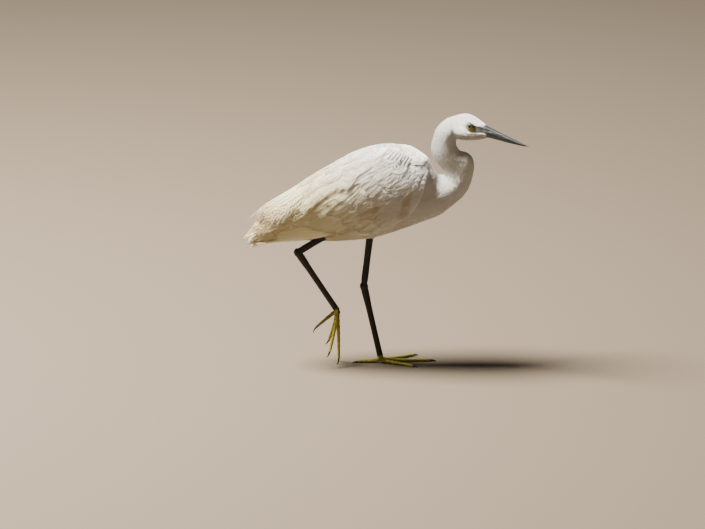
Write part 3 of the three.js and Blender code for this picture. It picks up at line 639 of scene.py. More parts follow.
def from_eye(points, side):
    """How far points lie out along an eye's axis, and how far off it."""
    away, axis = points - eye_centre(side), eye_axis(side)
    out = away @ axis
    return out, np.linalg.norm(away - out[:, None] * axis, axis=1)


def refine_face(piece):
    mesh = bmesh.new()
    mesh.from_mesh(piece.data)
    co = to_head(millimetres(np.array([v.co for v in mesh.verts])))
    # the face: from behind the eye forward, level with the eyes and off the middle plane
    near = (co[:, 0] > -9) & (np.abs(co[:, 2] + 2) < 11) & (np.abs(co[:, 1]) > 2)
    edges = [e for e in mesh.edges if near[e.verts[0].index] and near[e.verts[1].index]]
    bmesh.ops.subdivide_edges(mesh, edges=edges, cuts=1, use_grid_fill=True, smooth=0.6)
    bmesh.ops.triangulate(mesh, faces=[f for f in mesh.faces if len(f.verts) > 4])
    mesh.to_mesh(piece.data)
    mesh.free()


def carve_face(co):
    """Moves the skin's corners, in mm, into lores, crease and socket."""
    for side in (1, -1):
        head = to_head(co)
        x, above = head[:, 0], head[:, 2] - GAPE_LINE(head[:, 0])[:, 0]
        on_side = side * ramp(head[:, 1] * side, 0, 3)
        # the bare lores are sunk a little between brow and gape
        head[:, 1] -= 0.9 * ramp(x, 5, 10) * ramp(x, 30, 22) * bell(head[:, 2], -1.2, 3.2) * on_side
        # the mouth's corner runs back under the eye, with a lip below it
        run = ramp(x, 0, 6) * ramp(x, 33, 29) * on_side
        head[:, 1] += run * (0.3 * bell(above, -1.2, 0.8) - 0.95 * bell(above, 0, 0.55))
        co = head @ HEAD_TURN.T + HEAD_CENTRE
        # the socket: skin inside the ring drops behind the ball, skin round it rises to the lid
        axis = eye_axis(side)
        out, radius = from_eye(co, side)
        hole = (out > 0) & (radius < SOCKET_RADIUS)
        co = co - np.where(hole, out - 1.5, 0)[:, None] * axis
        swell = (out > -2) * (radius >= SOCKET_RADIUS) * bell(np.maximum(radius - RIM_RADIUS, 0), 0, 1.2)
        rim = np.sqrt(np.maximum(EYE_RADIUS**2 - np.minimum(radius, EYE_RADIUS) ** 2, 0)) + 0.35
        co = co + (np.clip(rim - out, 0, 4.0) * swell)[:, None] * axis
    return co


for _ in range(2):
    refine_face(skin)
move_corners(skin.data, metres(carve_face(millimetres(read(skin.data.vertices, "co").astype(float)))))
print("skin after the face:", len(skin.data.vertices), "corners")

# %% [markdown]
# Each eye sits in a ring of bare skin. The ring is lofted: a section like a soft lip, turned round
# the eye's own axis and drawn wider than high, with its back edge sunk in the face.

# %% Eyelids
LID_SECTION = [
    # distance from the eye's axis, and height along it
    (3.75, 4.95), (3.9, 5.25), (4.2, 5.4), (4.6, 5.25), (5.05, 4.75), (5.6, 3.8), (6.0, 2.2), (5.0, 2.0),
    (3.9, 3.4),
]
LID_POINTS = 64


def above_ball(radius):
    return np.sqrt(EYE_RADIUS**2 - np.minimum(radius, 6.2) ** 2)


def lid_ring(side):
    axis, ahead, centre = eye_axis(side), head_direction(1, 0, 0), eye_centre(side)
    wide = unit(ahead - axis * dot(ahead, axis))
    high = np.cross(axis, wide)
    high = high * np.sign(high[2])
    turn = around(LID_POINTS)
    droop = 0.42 * np.clip(np.sin(turn), 0, 1) ** 1.5
    wrinkle = 0.07 * np.sin(turn * 17) + 0.05 * np.sin(turn * 29 + 1)
    rings = []
    for k, (radius, out) in enumerate(LID_SECTION):
        inner = ramp(radius, 5.8, 4.2)
        shape = radius * (1 - inner * droop)
        x, z = 1.09 * shape * np.cos(turn), 0.90 * shape * np.sin(turn)
        lift = out + inner * (above_ball(np.hypot(x, z)) - above_ball(radius)) + (wrinkle if 1 < k < 6 else 0)
        rings.append(centre + wide * x[:, None] + high * z[:, None] + axis * lift[:, None])
    verts = np.concatenate(rings)
    return verts, facing_out(verts - centre, net(len(rings), LID_POINTS, shut=True))


lids = mesh_object("eyelids", *joined([lid_ring(1), lid_ring(-1)]))
print("eyelids:", len(lids.data.polygons), "triangles")

# %% [markdown]
# The bare skin of the face runs from olive yellow round the eye to slate at the bill. Past the
# feather line the same material turns to plumage white, so that no edge shows under the feathers.

# %% Skin finish
BARE_SPOTS = [
    # place ahead of and above the eyes' middle, then how far the spot reaches along and up
    (0.6, 0.6, 7.4, 6.6), (8.0, -1.6, 6.5, 5.4), (15.0, -1.0, 7.0, 4.8), (22.0, -0.6, 7.0, 5.0),
]


def face_mask(place):
    """1 on the bare lores and round the eyes, 0 under feathers."""
    mask = None
    for side in (1, -1):
        for x, z, long, high in BARE_SPOTS:
            ahead, left, up = place.head_axes((x, side * float(HEAD_ROWS(x)[2]) * 0.93, z))
            ahead, left, up = ahead / (long * MM), left / 0.009, up / (high * MM)
            spot = (ahead * ahead + up * up + left * left).between(1.2, 0.75)
            mask = spot if mask is None else mask.maths("MAXIMUM", spot)
    return mask


def skin_finish():
    material, place, link, bump = finish("bare_skin", Roughness=0.5)
    ahead, _, up = place.head_axes()
    slate = ahead.between(0.008, 0.015).blend((0.14, 0.14, 0.045), (0.06, 0.068, 0.07))
    under_eye = ahead.between(-0.004, 0.001) * ahead.between(0.013, 0.006) * up.between(0.0, -0.003)
    bare = under_eye.blend(slate, (0.26, 0.25, 0.04))
    # painted shade: above the eyes' middle the bare skin and the lids turn near black, the brow's shadow
    # painted over the lids' own dark rim
    bare = (up.between(0.0002, 0.0020) * 0.95).blend(bare, (0.020, 0.020, 0.022))
    bare = (ahead.between(-0.0015, -0.0045) * 0.75).blend(bare, (0.40, 0.40, 0.35))
    bare = (place.noise(1100.0, 3.0).between(0.45, 0.75) * 0.5).blend(bare, (0.05, 0.055, 0.045))
    link("Base Color", face_mask(place).blend(plumage_colour(place), bare))
    bump(place.cells(2200.0).between(0.0, 0.2) * 0.5 + place.noise(1500.0, 3.0), 0.00015, 0.6)
    return material


BARE_SKIN = skin_finish()
dress(skin, BARE_SKIN)
dress(lids, BARE_SKIN)

# %% [markdown]
# ## The eyes
# The iris is pale yellow with a round black pupil, and a dark line rims it. The colour follows the
# distance from the eye's axis, so it needs no picture, and a clear coat gives the wet gloss.

# %% Eyes
CORNEA = 1.045
DARK_RIM = (0.03, 0.025, 0.015)


def eye_finish(name, side):
    material, place, link, _ = finish(f"eye_gloss_{name}", Roughness=0.12, Coat_Weight=1.0,
                                      Coat_Roughness=0.02)
    away = place.away_from(eye_centre(side))
    radius = away.vector("CROSS_PRODUCT", eye_axis(side)).length()
    iris = away.noise(1600.0, 3.0).between(0.3, 0.7).blend((0.27, 0.225, 0.045), (0.40, 0.35, 0.10))
    iris = radius.between(0.0027, 0.0036).blend(iris, (0.20, 0.17, 0.04))
    iris = radius.between(0.0024, 0.0021).blend(iris, (0.004, 0.004, 0.004))
    iris = radius.between(0.0034, 0.0039).blend(iris, DARK_RIM)
    link("Base Color", away.along(eye_axis(side)).between(0.0, 0.001).blend(DARK_RIM, iris))
    return material


def eyeball(side):
    ring, turn = np.meshgrid(np.linspace(0.02, math.pi - 0.02, 40), around(56), indexing="ij")
    axis, centre = eye_axis(side), eye_centre(side)
    wide = unit(np.cross(axis, (0, 0, 1)))
    high = np.cross(axis, wide)
    bulge = 1 + (CORNEA - 1) * bell(ring, 0, 0.42)  # the cornea stands a little proud
    direction = (axis * np.cos(ring)[..., None] + wide * (np.sin(ring) * np.cos(turn))[..., None]
                 + high * (np.sin(ring) * np.sin(turn))[..., None])
    return loft(centre + EYE_RADIUS * bulge[..., None] * direction,
                centre + axis * EYE_RADIUS * CORNEA, centre - axis * EYE_RADIUS)


eyes = {name: mesh_object(f"eyeball_{name}", *eyeball(side)) for name, side in SIDES}
for name, side in SIDES:
    dress(eyes[name], eye_finish(name, side))
print("eyes at", [tuple(metres(eye_centre(side)).round(3)) for _, side in SIDES])

# %% [markdown]
# ## The lie of the coat
# Feathers all point away from the bill: back over the head, down the neck and along the body to
# the tail. One centre line runs through the whole bird, and the lie at any place on the skin is
# the direction of the line near it. The same line gives how long and broad the feathers are there.

# %% The centre line from bill to tail
def centre_line():
    """Points from bill to tail, each with its radius, its share of the way and the lie there."""
    head = head_point([31, 22, 12, 0, -14, -28], 0.0, [-4, -4.5, -5, -6, -6, -7])
    upper = UPPER_NECK(np.linspace(0.92, 0.06, 16))
    lower = LOWER_NECK(np.linspace(0.86, 0.05, 14))
    p = np.linspace(66, -150, 26)
    _, _, half, widest = body_section(p)
    stretches = [
        # points, radii, and the share of the way at the first and at the last point
        (head, np.linspace(7, 15, 6), 0.0, 0.14), (midline(upper), upper[:, 2], 0.17, 0.40),
        (midline(lower), lower[:, 2], 0.42, 0.60),
        (body_to_world(p, 0.0, widest), np.minimum(half, 36), 0.62, 1.0),
    ]
    rows = [(points, radius, np.linspace(first, last, len(points)), unit(np.gradient(points, axis=0)))
            for points, radius, first, last in stretches]
    return [np.concatenate(column) for column in zip(*rows)]


LINE, LINE_RADIUS, LINE_WAY, LINE_AHEAD = centre_line()
CHUNK = 20000


def lie_of_coat(points):
    """The lie, and how far along the way from bill (0) to tail (1), of points near the skin."""
    lie, way = np.empty_like(points), np.empty(len(points))
    for start in range(0, len(points), CHUNK):
        some = slice(start, start + CHUNK)
        near = np.linalg.norm(points[some][:, None] - LINE[None], axis=2) / LINE_RADIUS
        weight = bell(near, near.min(1, keepdims=True), 0.35)
        weight /= weight.sum(1, keepdims=True)
        lie[some], way[some] = weight @ LINE_AHEAD, weight @ LINE_WAY
    return unit(lie), way


# Feather sizes along the way, in mm: spacing of the roots, length, width, and depth of the coat.
COAT = smooth([
    [0.00, 0.52, 2.2, 0.34, 0.26], [0.05, 0.58, 3.4, 0.38, 0.42], [0.10, 0.68, 5.4, 0.46, 0.7],
    [0.16, 0.78, 8.4, 0.58, 1.0], [0.30, 0.90, 11.0, 0.70, 1.35], [0.42, 0.98, 13.0, 0.80, 1.5],
    [0.55, 1.15, 16.0, 0.95, 1.9], [0.68, 1.30, 19.0, 1.1, 2.4], [0.85, 1.35, 21.0, 1.15, 2.5],
    [1.00, 1.30, 20.0, 1.1, 2.1],
])
print("centre line:", len(LINE), "points")

# %% [markdown]
# ## Where the feathers root
# Roots are scattered over the skin at random and then thinned, so that none crowds another, which
# gives the even, unruled look of real skin. No feather roots on the bare face, round the eye or
# where the wings and the mantle lie over the body.

# %% Skin arrays and the places of roots
skin.data.calc_loop_triangles()
SKIN_CO = millimetres(read(skin.data.vertices, "co").astype(float))
SKIN_NORMAL = read(skin.data.vertices, "normal").astype(float)
SKIN_TRIS = read(skin.data.loop_triangles, "vertices", kind=np.int32)
SKIN_TREE = BVHTree.FromPolygons(SKIN_CO.tolist(), SKIN_TRIS.tolist())


def nearest_on_skin(points):
    """The nearest place on the skin to each point, and the smoothed normal there."""
    at, normal = np.empty_like(points), np.empty_like(points)
    for i, spot in enumerate(points.tolist()):
        at[i], _, face, _ = SKIN_TREE.find_nearest(spot)
        normal[i] = SKIN_NORMAL[SKIN_TRIS[face]].mean(0)
    return at, unit(normal)


def body_place(points):
    """Place along the back and angle in degrees of points, on the body's own map."""
    dx, dz = points[:, 0] - BODY_CENTRE[0], points[:, 2] - BODY_CENTRE[1]
    c, s = math.cos(BODY_PITCH), math.sin(BODY_PITCH)
    p, q = dx * c + dz * s, dz * c - dx * s
    top, bottom, half, widest = body_section(p)
    reach = np.where(q > widest, top - widest, widest - bottom)
    return p, np.degrees(np.arctan2(points[:, 1] / half, (q - widest) / reach))


# The lower edge of the folded wing: place along the back and angle.
WING_LOW = smooth([
    [-104, 97], [-84, 99], [-50, 114], [-15, 130], [25, 133], [60, 120], [88, 103], [104, 88],
])


def keeps_feathers(points, way):
    keep = np.ones(len(points), bool)
    for side in (1, -1):
        out, off = from_eye(points, side)
        keep &= ~((out > -2) & (off < LID_REACH))
    # the bare lores narrow from the eye to the bill, between the brow and the gape
    x, y, z = to_head(points).T
    brow = np.interp(x, [-4, 2, 8, 14, 20, 32], [3.6, 4.6, 3.2, 3.0, 3.6, 4.4])
    chin = GAPE_LINE(x)[:, 0] - np.interp(x, [0, 8, 20, 32], [0.0, 0.6, 0.9, 1.2])
    keep &= ~((x > 2) & (x < 40) & (z < brow) & (z > chin) & (np.abs(y) > 1.5))
    # the bill's own roots, further out below than above
    keep &= ~((x > 20) & (z > -4)) & ~(x > 29)
    p, angle = body_place(points)
    covered = (way > 0.6) & (p < 86) & (p > -96) & (np.abs(angle) < WING_LOW(p)[:, 0] - 16)
    return keep & ~covered


CELL = 2.2  # a box in mm, wider than any gap asked for, so that only its neighbours need a look
TRIES = 2.0  # random places for each root wanted
CROWDING = 0.72  # how near two roots may come, as a share of the spacing
NEIGHBOURS = [(x - 1, y - 1, z - 1) for x, y, z in np.ndindex(3, 3, 3)]


def scatter(seed):
    """Random places over the skin, thinned so that none lies closer than its spacing."""
    rng = np.random.default_rng(seed)
    corners = SKIN_CO[SKIN_TRIS]
    first, edge_a, edge_b = corners[:, 0], corners[:, 1] - corners[:, 0], corners[:, 2] - corners[:, 0]
    area = 0.5 * np.linalg.norm(np.cross(edge_a, edge_b), axis=1)
    middle = corners.mean(1)
    way = lie_of_coat(middle)[1]
    spacing = COAT(way)[:, 0]
    count = rng.poisson(np.where(keeps_feathers(middle, way), TRIES * area / spacing**2, 0))
    face = np.repeat(np.arange(len(area)), count)
    a, b = rng.random(len(face)), rng.random(len(face))
    a, b = np.where(a + b > 1, 1 - a, a), np.where(a + b > 1, 1 - b, b)
    spots = first[face] + a[:, None] * edge_a[face] + b[:, None] * edge_b[face]
    listed, gaps = spots.tolist(), (spacing[face] * CROWDING).tolist()
    grid, kept = {}, []
    for i in rng.permutation(len(spots)).tolist():
        x, y, z = listed[i]
        kx, ky, kz = int(x // CELL), int(y // CELL), int(z // CELL)
        room = gaps[i] ** 2
        crowd = (spot for dx, dy, dz in NEIGHBOURS for spot in grid.get((kx + dx, ky + dy, kz + dz), ()))
        if not any((u - x) ** 2 + (v - y) ** 2 + (w - z) ** 2 < room for u, v, w in crowd):
            grid.setdefault((kx, ky, kz), []).append((x, y, z))
            kept.append(i)
    return spots[kept]


roots = scatter(7)
print("roots:", len(roots))

# %% [markdown]
# ## Tufts
# A tuft is a thin blade: three long faces round a middle that is drawn out to a point. Each blade
# starts in the skin, follows it in short steps and rises to the depth of the coat at its tip.
# Blades built together as arrays cost a few seconds for the whole bird.

# %% Blades
BAKE_PATCH = 0.003  # a blade's own share of the map
MAP_EDGE, MAP_SPAN = 0.01, 0.975
TUFT_STEPS = 3
TUFT_RISE = np.array([-0.12, 0.35, 0.75, 1.0])
TUFT_PROFILE = np.array([0.75, 1.15, 0.8])


def unwrap(points, way):
    """A place on the skin's own unwrap: round the centre line and along the way, over the whole map."""
    nearest = np.argmin(np.linalg.norm(points[:, None] - LINE[None], axis=2) / LINE_RADIUS, axis=1)
    off, along = points - LINE[nearest], LINE_AHEAD[nearest]
    left = np.broadcast_to([0.0, 1.0, 0.0], along.shape)
    left = unit(left - along * dot(left, along)[:, None])
    angle = np.arctan2(dot(off, left), dot(off, np.cross(left, along)))
    uv = np.column_stack([0.5 + angle / (2.04 * math.pi), way])
    low, high = uv.min(0), uv.max(0)
    return MAP_EDGE + MAP_SPAN * (uv - low) / np.maximum(high - low, 1e-6)


def blades(centre, lateral, normal, width, thick, root_uv):
    """Closed blades. centre is (blades, stations, 3), and width is (blades, stations - 1)."""
    count, rings = centre.shape[0], centre.shape[1] - 1
    half = 0.5 * width[..., None] * lateral[:, :rings]
    ridge = thick * width[..., None] * normal[:, :rings]
    ring = np.stack([centre[:, :rings] - half, centre[:, :rings] + half, centre[:, :rings] + ridge], 2)
    verts = np.concatenate([ring.reshape(count, rings * 3, 3), centre[:, rings:]], 1)
    faces = [(0, 2, 1)]
    for a in range(0, 3 * (rings - 1), 3):
        for i, j in ((0, 1), (1, 2), (2, 0)):
            faces += [(a + i, a + j, a + 3 + j), (a + i, a + 3 + j, a + 3 + i)]
    a, tip = 3 * (rings - 1), 3 * rings
    faces += [(a, a + 1, tip), (a + 1, a + 2, tip), (a + 2, a, tip)]
    tris = (np.array(faces)[None] + (np.arange(count) * (tip + 1))[:, None, None]).reshape(-1, 3)
    patch = np.array([(x, 0.9 * r / rings) for r in range(rings) for x in (0, 1, 0.5)] + [(0.5, 1)])
    uv = (root_uv[:, None] + BAKE_PATCH * patch[None]).reshape(-1, 2)
    return verts.reshape(-1, 3), tris, uv


def draped(roots, lie, length, swerve):
    """Centre lines that follow the skin from their roots, with the skin's normals along them."""
    at, normal = nearest_on_skin(roots)
    track, normals, direction = [at], [normal], lie
    for _ in range(TUFT_STEPS):
        direction = unit(direction - normal * dot(direction, normal)[:, None] + swerve)
        at, normal = nearest_on_skin(at + direction * (length / TUFT_STEPS)[:, None])
        track.append(at)
        normals.append(normal)
    return np.stack(track, 1), np.stack(normals, 1)


def tufted(name, roots, seed, strands=1, fan=0.0, lift=1.0):
    """A piece of the coat: one tuft at each root, of one strand or of several that fan out."""
    rng, count = np.random.default_rng(seed), len(roots)
    lie, way = lie_of_coat(roots)
    _, length, width, depth = COAT(way).T
    length = length * rng.normal(1, 0.09, count).clip(0.75, 1.25)
    track, normals = draped(roots, lie, length, rng.normal(0, 0.07, (count, 3)))
    share = np.linspace(0, 1, TUFT_STEPS + 1)
    lateral = unit(np.cross(normals, unit(np.gradient(track, axis=1))))
    tip_lift = lift * depth * rng.normal(1, 0.14, count).clip(0.6, 1.4)
    track = track + normals * (TUFT_RISE * tip_lift[:, None])[..., None]
    root_uv = unwrap(roots, way)
    parts = []
    for turn in np.linspace(-1, 1, strands) if strands > 1 else [0.0]:
        sway = fan * turn + rng.normal(0, 0.05, count)
        centre = track
        if strands > 1:
            aside = length[:, None] * (0.12 * turn + sway[:, None] * share) * share**0.7
            droop = 0.125 * abs(turn) * share * depth[:, None]
            centre = track + lateral * aside[..., None] - normals * droop[..., None]
        wide = width[:, None] * TUFT_PROFILE * rng.normal(1, 0.1, (count, 1)).clip(0.7, 1.3)
        parts.append(blades(centre, lateral, normals, wide, 0.17, root_uv))
    tone = np.repeat(np.clip(rng.normal(0.35, 0.28, count), 0, 1), len(parts[0][0]) // count)
    verts, tris = joined(parts)
    uv = np.concatenate([part[2] for part in parts])
    piece = mesh_object(name, verts, tris, uv=uv, tone=np.tile(tone, strands))
    dress(piece, DOWN)
    print(f"{name}: {count} tufts, {len(tris)} triangles")
    return piece


root_way = lie_of_coat(roots)[1]
root_p, root_angle = body_place(roots)
trunk = root_way >= 0.6
coat = [tufted(name, roots[where], seed, **more) for seed, (name, where, more) in enumerate((
    ("head_feathers", root_way < 0.165, {}),
    ("neck_feathers", (root_way >= 0.165) & (root_way < 0.41), {"lift": 0.85}),
    ("throat_feathers", (root_way >= 0.41) & (root_way < 0.6), {"lift": 0.62}),
    ("body_feathers_left", trunk & (root_angle >= 0), {"lift": 0.75}),
    ("body_feathers_right", trunk & (root_angle < 0), {"lift": 0.75}),
    ("shoulder_feathers", trunk & (root_p > 90) & (root_p < 114) & (np.abs(root_angle) < 128),
     {"strands": 3, "fan": 0.16, "lift": 1.3}),
), 1)]

# %% [markdown]
# ## Vanes
# Flight feathers and coverts are flat vanes on a shaft. Each is laid over the body from a root to
# a tip given on the body's own map, bends with the surface, and is a little cupped. Its edges are
# notched where the barbs part, and fine loose barbs fringe it, which softens the outline.

# %% One row of vanes at a time
# Outlines of vanes: share of the length, and share of the full width there.
ROUND_TIP = smooth([[0, 0.3], [0.15, 0.62], [0.45, 1.0], [0.72, 0.97], [0.88, 0.74], [0.96, 0.42], [1, 0.1]])
POINTED_TIP = smooth([[0, 0.32], [0.15, 0.7], [0.35, 1.0], [0.62, 0.95], [0.82, 0.66], [0.94, 0.3],
                      [1, 0.04]])
BRUSH = smooth([[0, 0.4], [0.3, 0.9], [0.6, 1.0], [0.85, 0.85], [1, 0.55]])
SOFT_TIP = smooth([[0, 0.4], [0.15, 0.75], [0.35, 1.0], [0.6, 0.92], [0.8, 0.66], [0.93, 0.34], [1, 0.08]])
LANCE_TIP = smooth([[0, 0.4], [0.2, 0.85], [0.4, 1.0], [0.65, 0.8], [0.85, 0.42], [1, 0.03]])
# Places across a vane, as shares of its half-width. The middle ones of SHAFTED raise the shaft.
PLAIN = (-1, -0.5, 0, 0.5, 1)
SHAFTED = (-1, -0.5, -0.06, 0, 0.06, 0.5, 1)
SHAFT_RISE, CUP, LEAST_SPREAD = 0.16, -0.3, 60
SILK_TIMES = (0.0, 0.35, 0.7, 1.0)


def stretch(feather, s):
    """Place along the back and angle in degrees, at shares s of the way from root to tip."""
    root, tip = feather["root"], feather["tip"]
    return [root[:, k : k + 1] + (tip[:, k : k + 1] - root[:, k : k + 1]) * s for k in (0, 1)]


def body_under(feather, s):
    """The body's own way out, under feathers at shares s, which are (feathers, places)."""
    p, degrees = stretch(feather, s)
    return on_body(p.ravel(), feather["side"] * np.radians(degrees.ravel()))[3]


def on_feathers(feather, s, share):
    """Points on feathers at shares s of their length and share of their half-width."""
    side, width = feather["side"], feather["width"]
    p, degrees = stretch(feather, s)
    angle = side * np.radians(degrees + feather["bow"] * np.sin(math.pi * s))
    low, high = feather["lifts"][:, :1], feather["lifts"][:, 1:]
    height = low + (high - low) * s + feather["flare"] * s**3
    at, along_p, along_a, normal = on_body(p, angle, height)
    run, turn = np.hsplit(feather["tip"] - feather["root"], 2)
    ahead = on_body(p + run * 0.02, angle + side * np.radians(turn) * 0.02, height)[0]
    lateral = unit(np.cross(normal, ahead - at)) * side
    fullness = feather["shape"](np.clip(s, 0, 1))[..., 0]
    half = 0.5 * width * fullness * share
    step_p = half * dot(lateral, along_p) / dot(along_p, along_p)
    step_a = half * dot(lateral, along_a) / np.maximum(dot(along_a, along_a), LEAST_SPREAD)
    down = np.where(step_a * side < 0, -1, 1) * np.abs(share)
    cup = CUP * np.abs(share) ** 1.6 * fullness * width / 20
    return on_body(p + step_p, angle + step_a, height + feather["tilt"] * down + cup)[0]


def vane_uv(side, root):
    """The map place of a feather: its root's angle across the map and its place along the back up it."""
    uv = np.column_stack([0.5 + side * root[:, 1] / 300.0, (root[:, 0] + 110) / 225.0])
    return uv.clip(MAP_EDGE, MAP_EDGE + MAP_SPAN)


class Vanes:
    """Feathers of one tract, gathered row by row and built as one mesh."""

    def __init__(self, seed):
        self.rng, self.parts, self.count = np.random.default_rng(seed), [], 0

    def row(self, side, count, roots, tips, width, lift, root_lift=1.2, shape=ROUND_TIP, bow=2.0, tilt=0.35,
            flare=0.0, jitter=2.0, stations=8, shares=PLAIN, fringe=10, barb=0.22, thick=0.3, tone=0.35,
            silk=0, silk_from=0.3):
        """roots and tips give place and angle at the low and at the high end of the row."""
        rng = self.rng
        t = np.linspace(0, 1, count)[:, None]
        root, tip = [low + (high - low) * t for low, high in (np.array(roots, float), np.array(tips, float))]
        tip = tip + rng.normal(0, 1, (count, 2)) * [jitter, 0.45 * jitter]
        root = root + rng.normal(0, 0.4, (count, 2)) * [1.0, 0.6]
        width = (width * rng.normal(1, 0.06, count).clip(0.8, 1.2))[:, None]
        lifts = [np.broadcast_to(v, count) for v in (root_lift, lift * rng.normal(1, 0.02, count))]
        feather = {"root": root, "tip": tip, "side": side, "width": width, "shape": shape, "bow": bow,
                   "lifts": np.column_stack(lifts), "tilt": tilt, "flare": flare}
        grid_s, grid_share = np.meshgrid(np.linspace(0, 1, stations) ** 0.85, np.array(shares, float),
                                         indexing="ij")
        notch = 1 - 0.13 * rng.random((count, *grid_s.shape)) * (np.abs(grid_share) > 0.9)
        flat_s = np.broadcast_to(grid_s.ravel(), (count, grid_s.size))
        top = on_feathers(feather, flat_s, (grid_share * notch).reshape(count, -1))
        root_uv = vane_uv(side, root)
        tones = np.clip(rng.normal(tone, 0.18, count), 0, 1)
        self.plates(top.reshape(count, *grid_s.shape, 3), side, grid_s, grid_share, thick, root_uv, tones)
        if fringe:
            self.fringe(feather, fringe, barb, root_uv, tones)
        if silk:
            self.silk(feather, silk, silk_from, root_uv, tones)
        return feather

    def plates(self, top, side, grid_s, grid_share, thick, root_uv, tones):
        """Closed thin plates from the upper faces of feathers, (feathers, stations, shares, 3)."""
        count, rows, columns = top.shape[:3]
        across = np.abs(grid_share[0])
        normal = unit(np.cross(np.gradient(top, axis=2), unit(np.gradient(top, axis=1)))) * side
        top = top + normal * np.where(across < 0.03, SHAFT_RISE, 0.0)[:, None]
        bottom = top - normal * (thick * (1 - 0.6 * across))[:, None]
        verts = np.concatenate([top.reshape(count, -1, 3), bottom.reshape(count, -1, 3)], 1)
        under = rows * columns
        cell = np.arange(under).reshape(rows, columns)
        a, b, c, d = cell[:-1, :-1], cell[:-1, 1:], cell[1:, 1:], cell[1:, :-1]
        faces = [a, b, c, a, c, d, under + a, under + c, under + b, under + a, under + d, under + c]
        rim = np.concatenate([cell[:, 0], cell[-1, 1:], cell[-2::-1, -1], cell[0, -2:0:-1]])
        after = np.roll(rim, -1)
        walls = [rim, after, under + after, rim, under + after, under + rim]
        faces = np.concatenate([np.stack(corners, -1).reshape(-1, 3) for corners in (faces, walls)])
        faces = facing_out(verts[0] - verts[0].mean(0), faces)
        tris = (faces[None] + (np.arange(count) * 2 * under)[:, None, None]).reshape(-1, 3)
        vane = np.column_stack([grid_share.ravel(), grid_s.ravel()])
        patch = np.tile(BAKE_PATCH * (vane * [0.5, 1] + [0.5, 0]), (2, 1))
        uv = (root_uv[:, None] + patch[None]).reshape(-1, 2)
        self.parts.append((verts.reshape(-1, 3), tris, uv, np.tile(vane, (2 * count, 1)),
                           np.repeat(tones, 2 * under)))
        self.count += count

    def strands(self, centre, normal, widths, thick, root_uv, tone, rise=None):
        """Loose barbs along centre, (barbs, stations, 3), with a normal, map place and tone each."""
        along = unit(np.gradient(centre, axis=1))
        normal = np.broadcast_to(normal[:, None], centre.shape)
        if rise is not None:
            normal = unit(normal - along * dot(normal, along)[..., None])
            centre = centre + normal * rise[..., None]
        lateral = unit(np.cross(normal, along))
        verts, tris, uv = blades(centre, lateral, normal, widths, thick, root_uv)
        tone = np.repeat(tone, len(verts) // len(centre))
        self.parts.append((verts, tris, uv, np.zeros((len(verts), 2)), tone))

    def fringe(self, feather, barbs, barb, root_uv, tones):
        """Loose barbs past both edges of each feather."""
        rng, count = self.rng, len(feather["root"])
        edge = np.tile(np.repeat([-1.0, 1.0], barbs), (count, 1))
        s = np.tile(np.linspace(0.3, 0.97, barbs), (count, 2)) + rng.normal(0, 0.02, edge.shape)
        reach = barb * rng.normal(1, 0.22, s.shape).clip(0.5, 1.6)
        out = 1.12 + 0.2 * rng.random(s.shape)
        places = [on_feathers(feather, np.minimum(s + reach * t * (0.55 + 0.45 * s), 1.0 + 0.4 * reach * t),
                              edge * share * np.where(s > 0.9, 0.75, 1))
                  for t, share in ((0.0, 0.78), (0.5, 0.98), (1.0, out))]
        centre = np.stack(places, 2).reshape(-1, 3, 3)
        widths = np.array([0.85, 0.6]) * rng.normal(1, 0.15, (len(centre), 1)).clip(0.6, 1.4)
        self.strands(centre, body_under(feather, np.full(s.shape, 0.6)), widths, 0.2,
                     np.repeat(root_uv, 2 * barbs, 0), np.repeat(tones, 2 * barbs))

    def silk(self, feather, barbs, first, root_uv, tones):
        """Fine barbs combed along the top of each feather and a little past its tip."""
        rng, brush = self.rng, {**feather, "shape": BRUSH}
        share = rng.uniform(-0.95, 0.95, (len(root_uv), barbs))
        s = rng.uniform(first, 0.97, share.shape)
        long = 0.34 * rng.normal(1, 0.25, s.shape).clip(0.45, 1.6)
        places = [on_feathers(brush, np.minimum(s + long * t, 1.12 - 0.1 * (1 - t)), share * (1 + 0.15 * t))
                  for t in SILK_TIMES]
        centre = np.stack(places, 2).reshape(-1, 4, 3)
        rise = 0.06 + rng.uniform(0.03, 0.26, (len(centre), 1)) * [[-0.6, 0.7, 1.0, 1.0]]
        widths = 0.62 * np.array([0.7, 1.0, 0.55]) * rng.normal(1, 0.2, (len(centre), 1)).clip(0.5, 1.5)
        tone = np.clip(np.repeat(tones, barbs) + rng.normal(0, 0.22, len(centre)), 0, 1)
        self.strands(centre, body_under(feather, np.full(s.shape, 0.7)), widths, 0.14,
                     np.repeat(root_uv, barbs, 0), tone, rise)

    def build(self, name):
        verts, tris = joined(self.parts)
        uv, vane, tone = [np.concatenate([part[k] for part in self.parts]) for k in (2, 3, 4)]
        piece = mesh_object(name, verts, tris, uv=uv, vane=vane, tone=tone)
        dress(piece, FEATHER)
        print(f"{name}: {self.count} feathers, {len(piece.data.polygons)} triangles")
        return piece


# Coverts and mantle feathers: thin, soft-tipped and lying close.
SOFT = {"shape": SOFT_TIP, "tilt": 0.1, "thick": 0.16}

# %% [markdown]
# ## The folded wings
# From the shoulder back, a folded wing shows scale-like marginal and lesser coverts, then longer
# median and greater coverts, and under them the secondaries, the loose tertials and the tips of
# the primaries. Each row's tips lie over the next row's roots, like tiles.

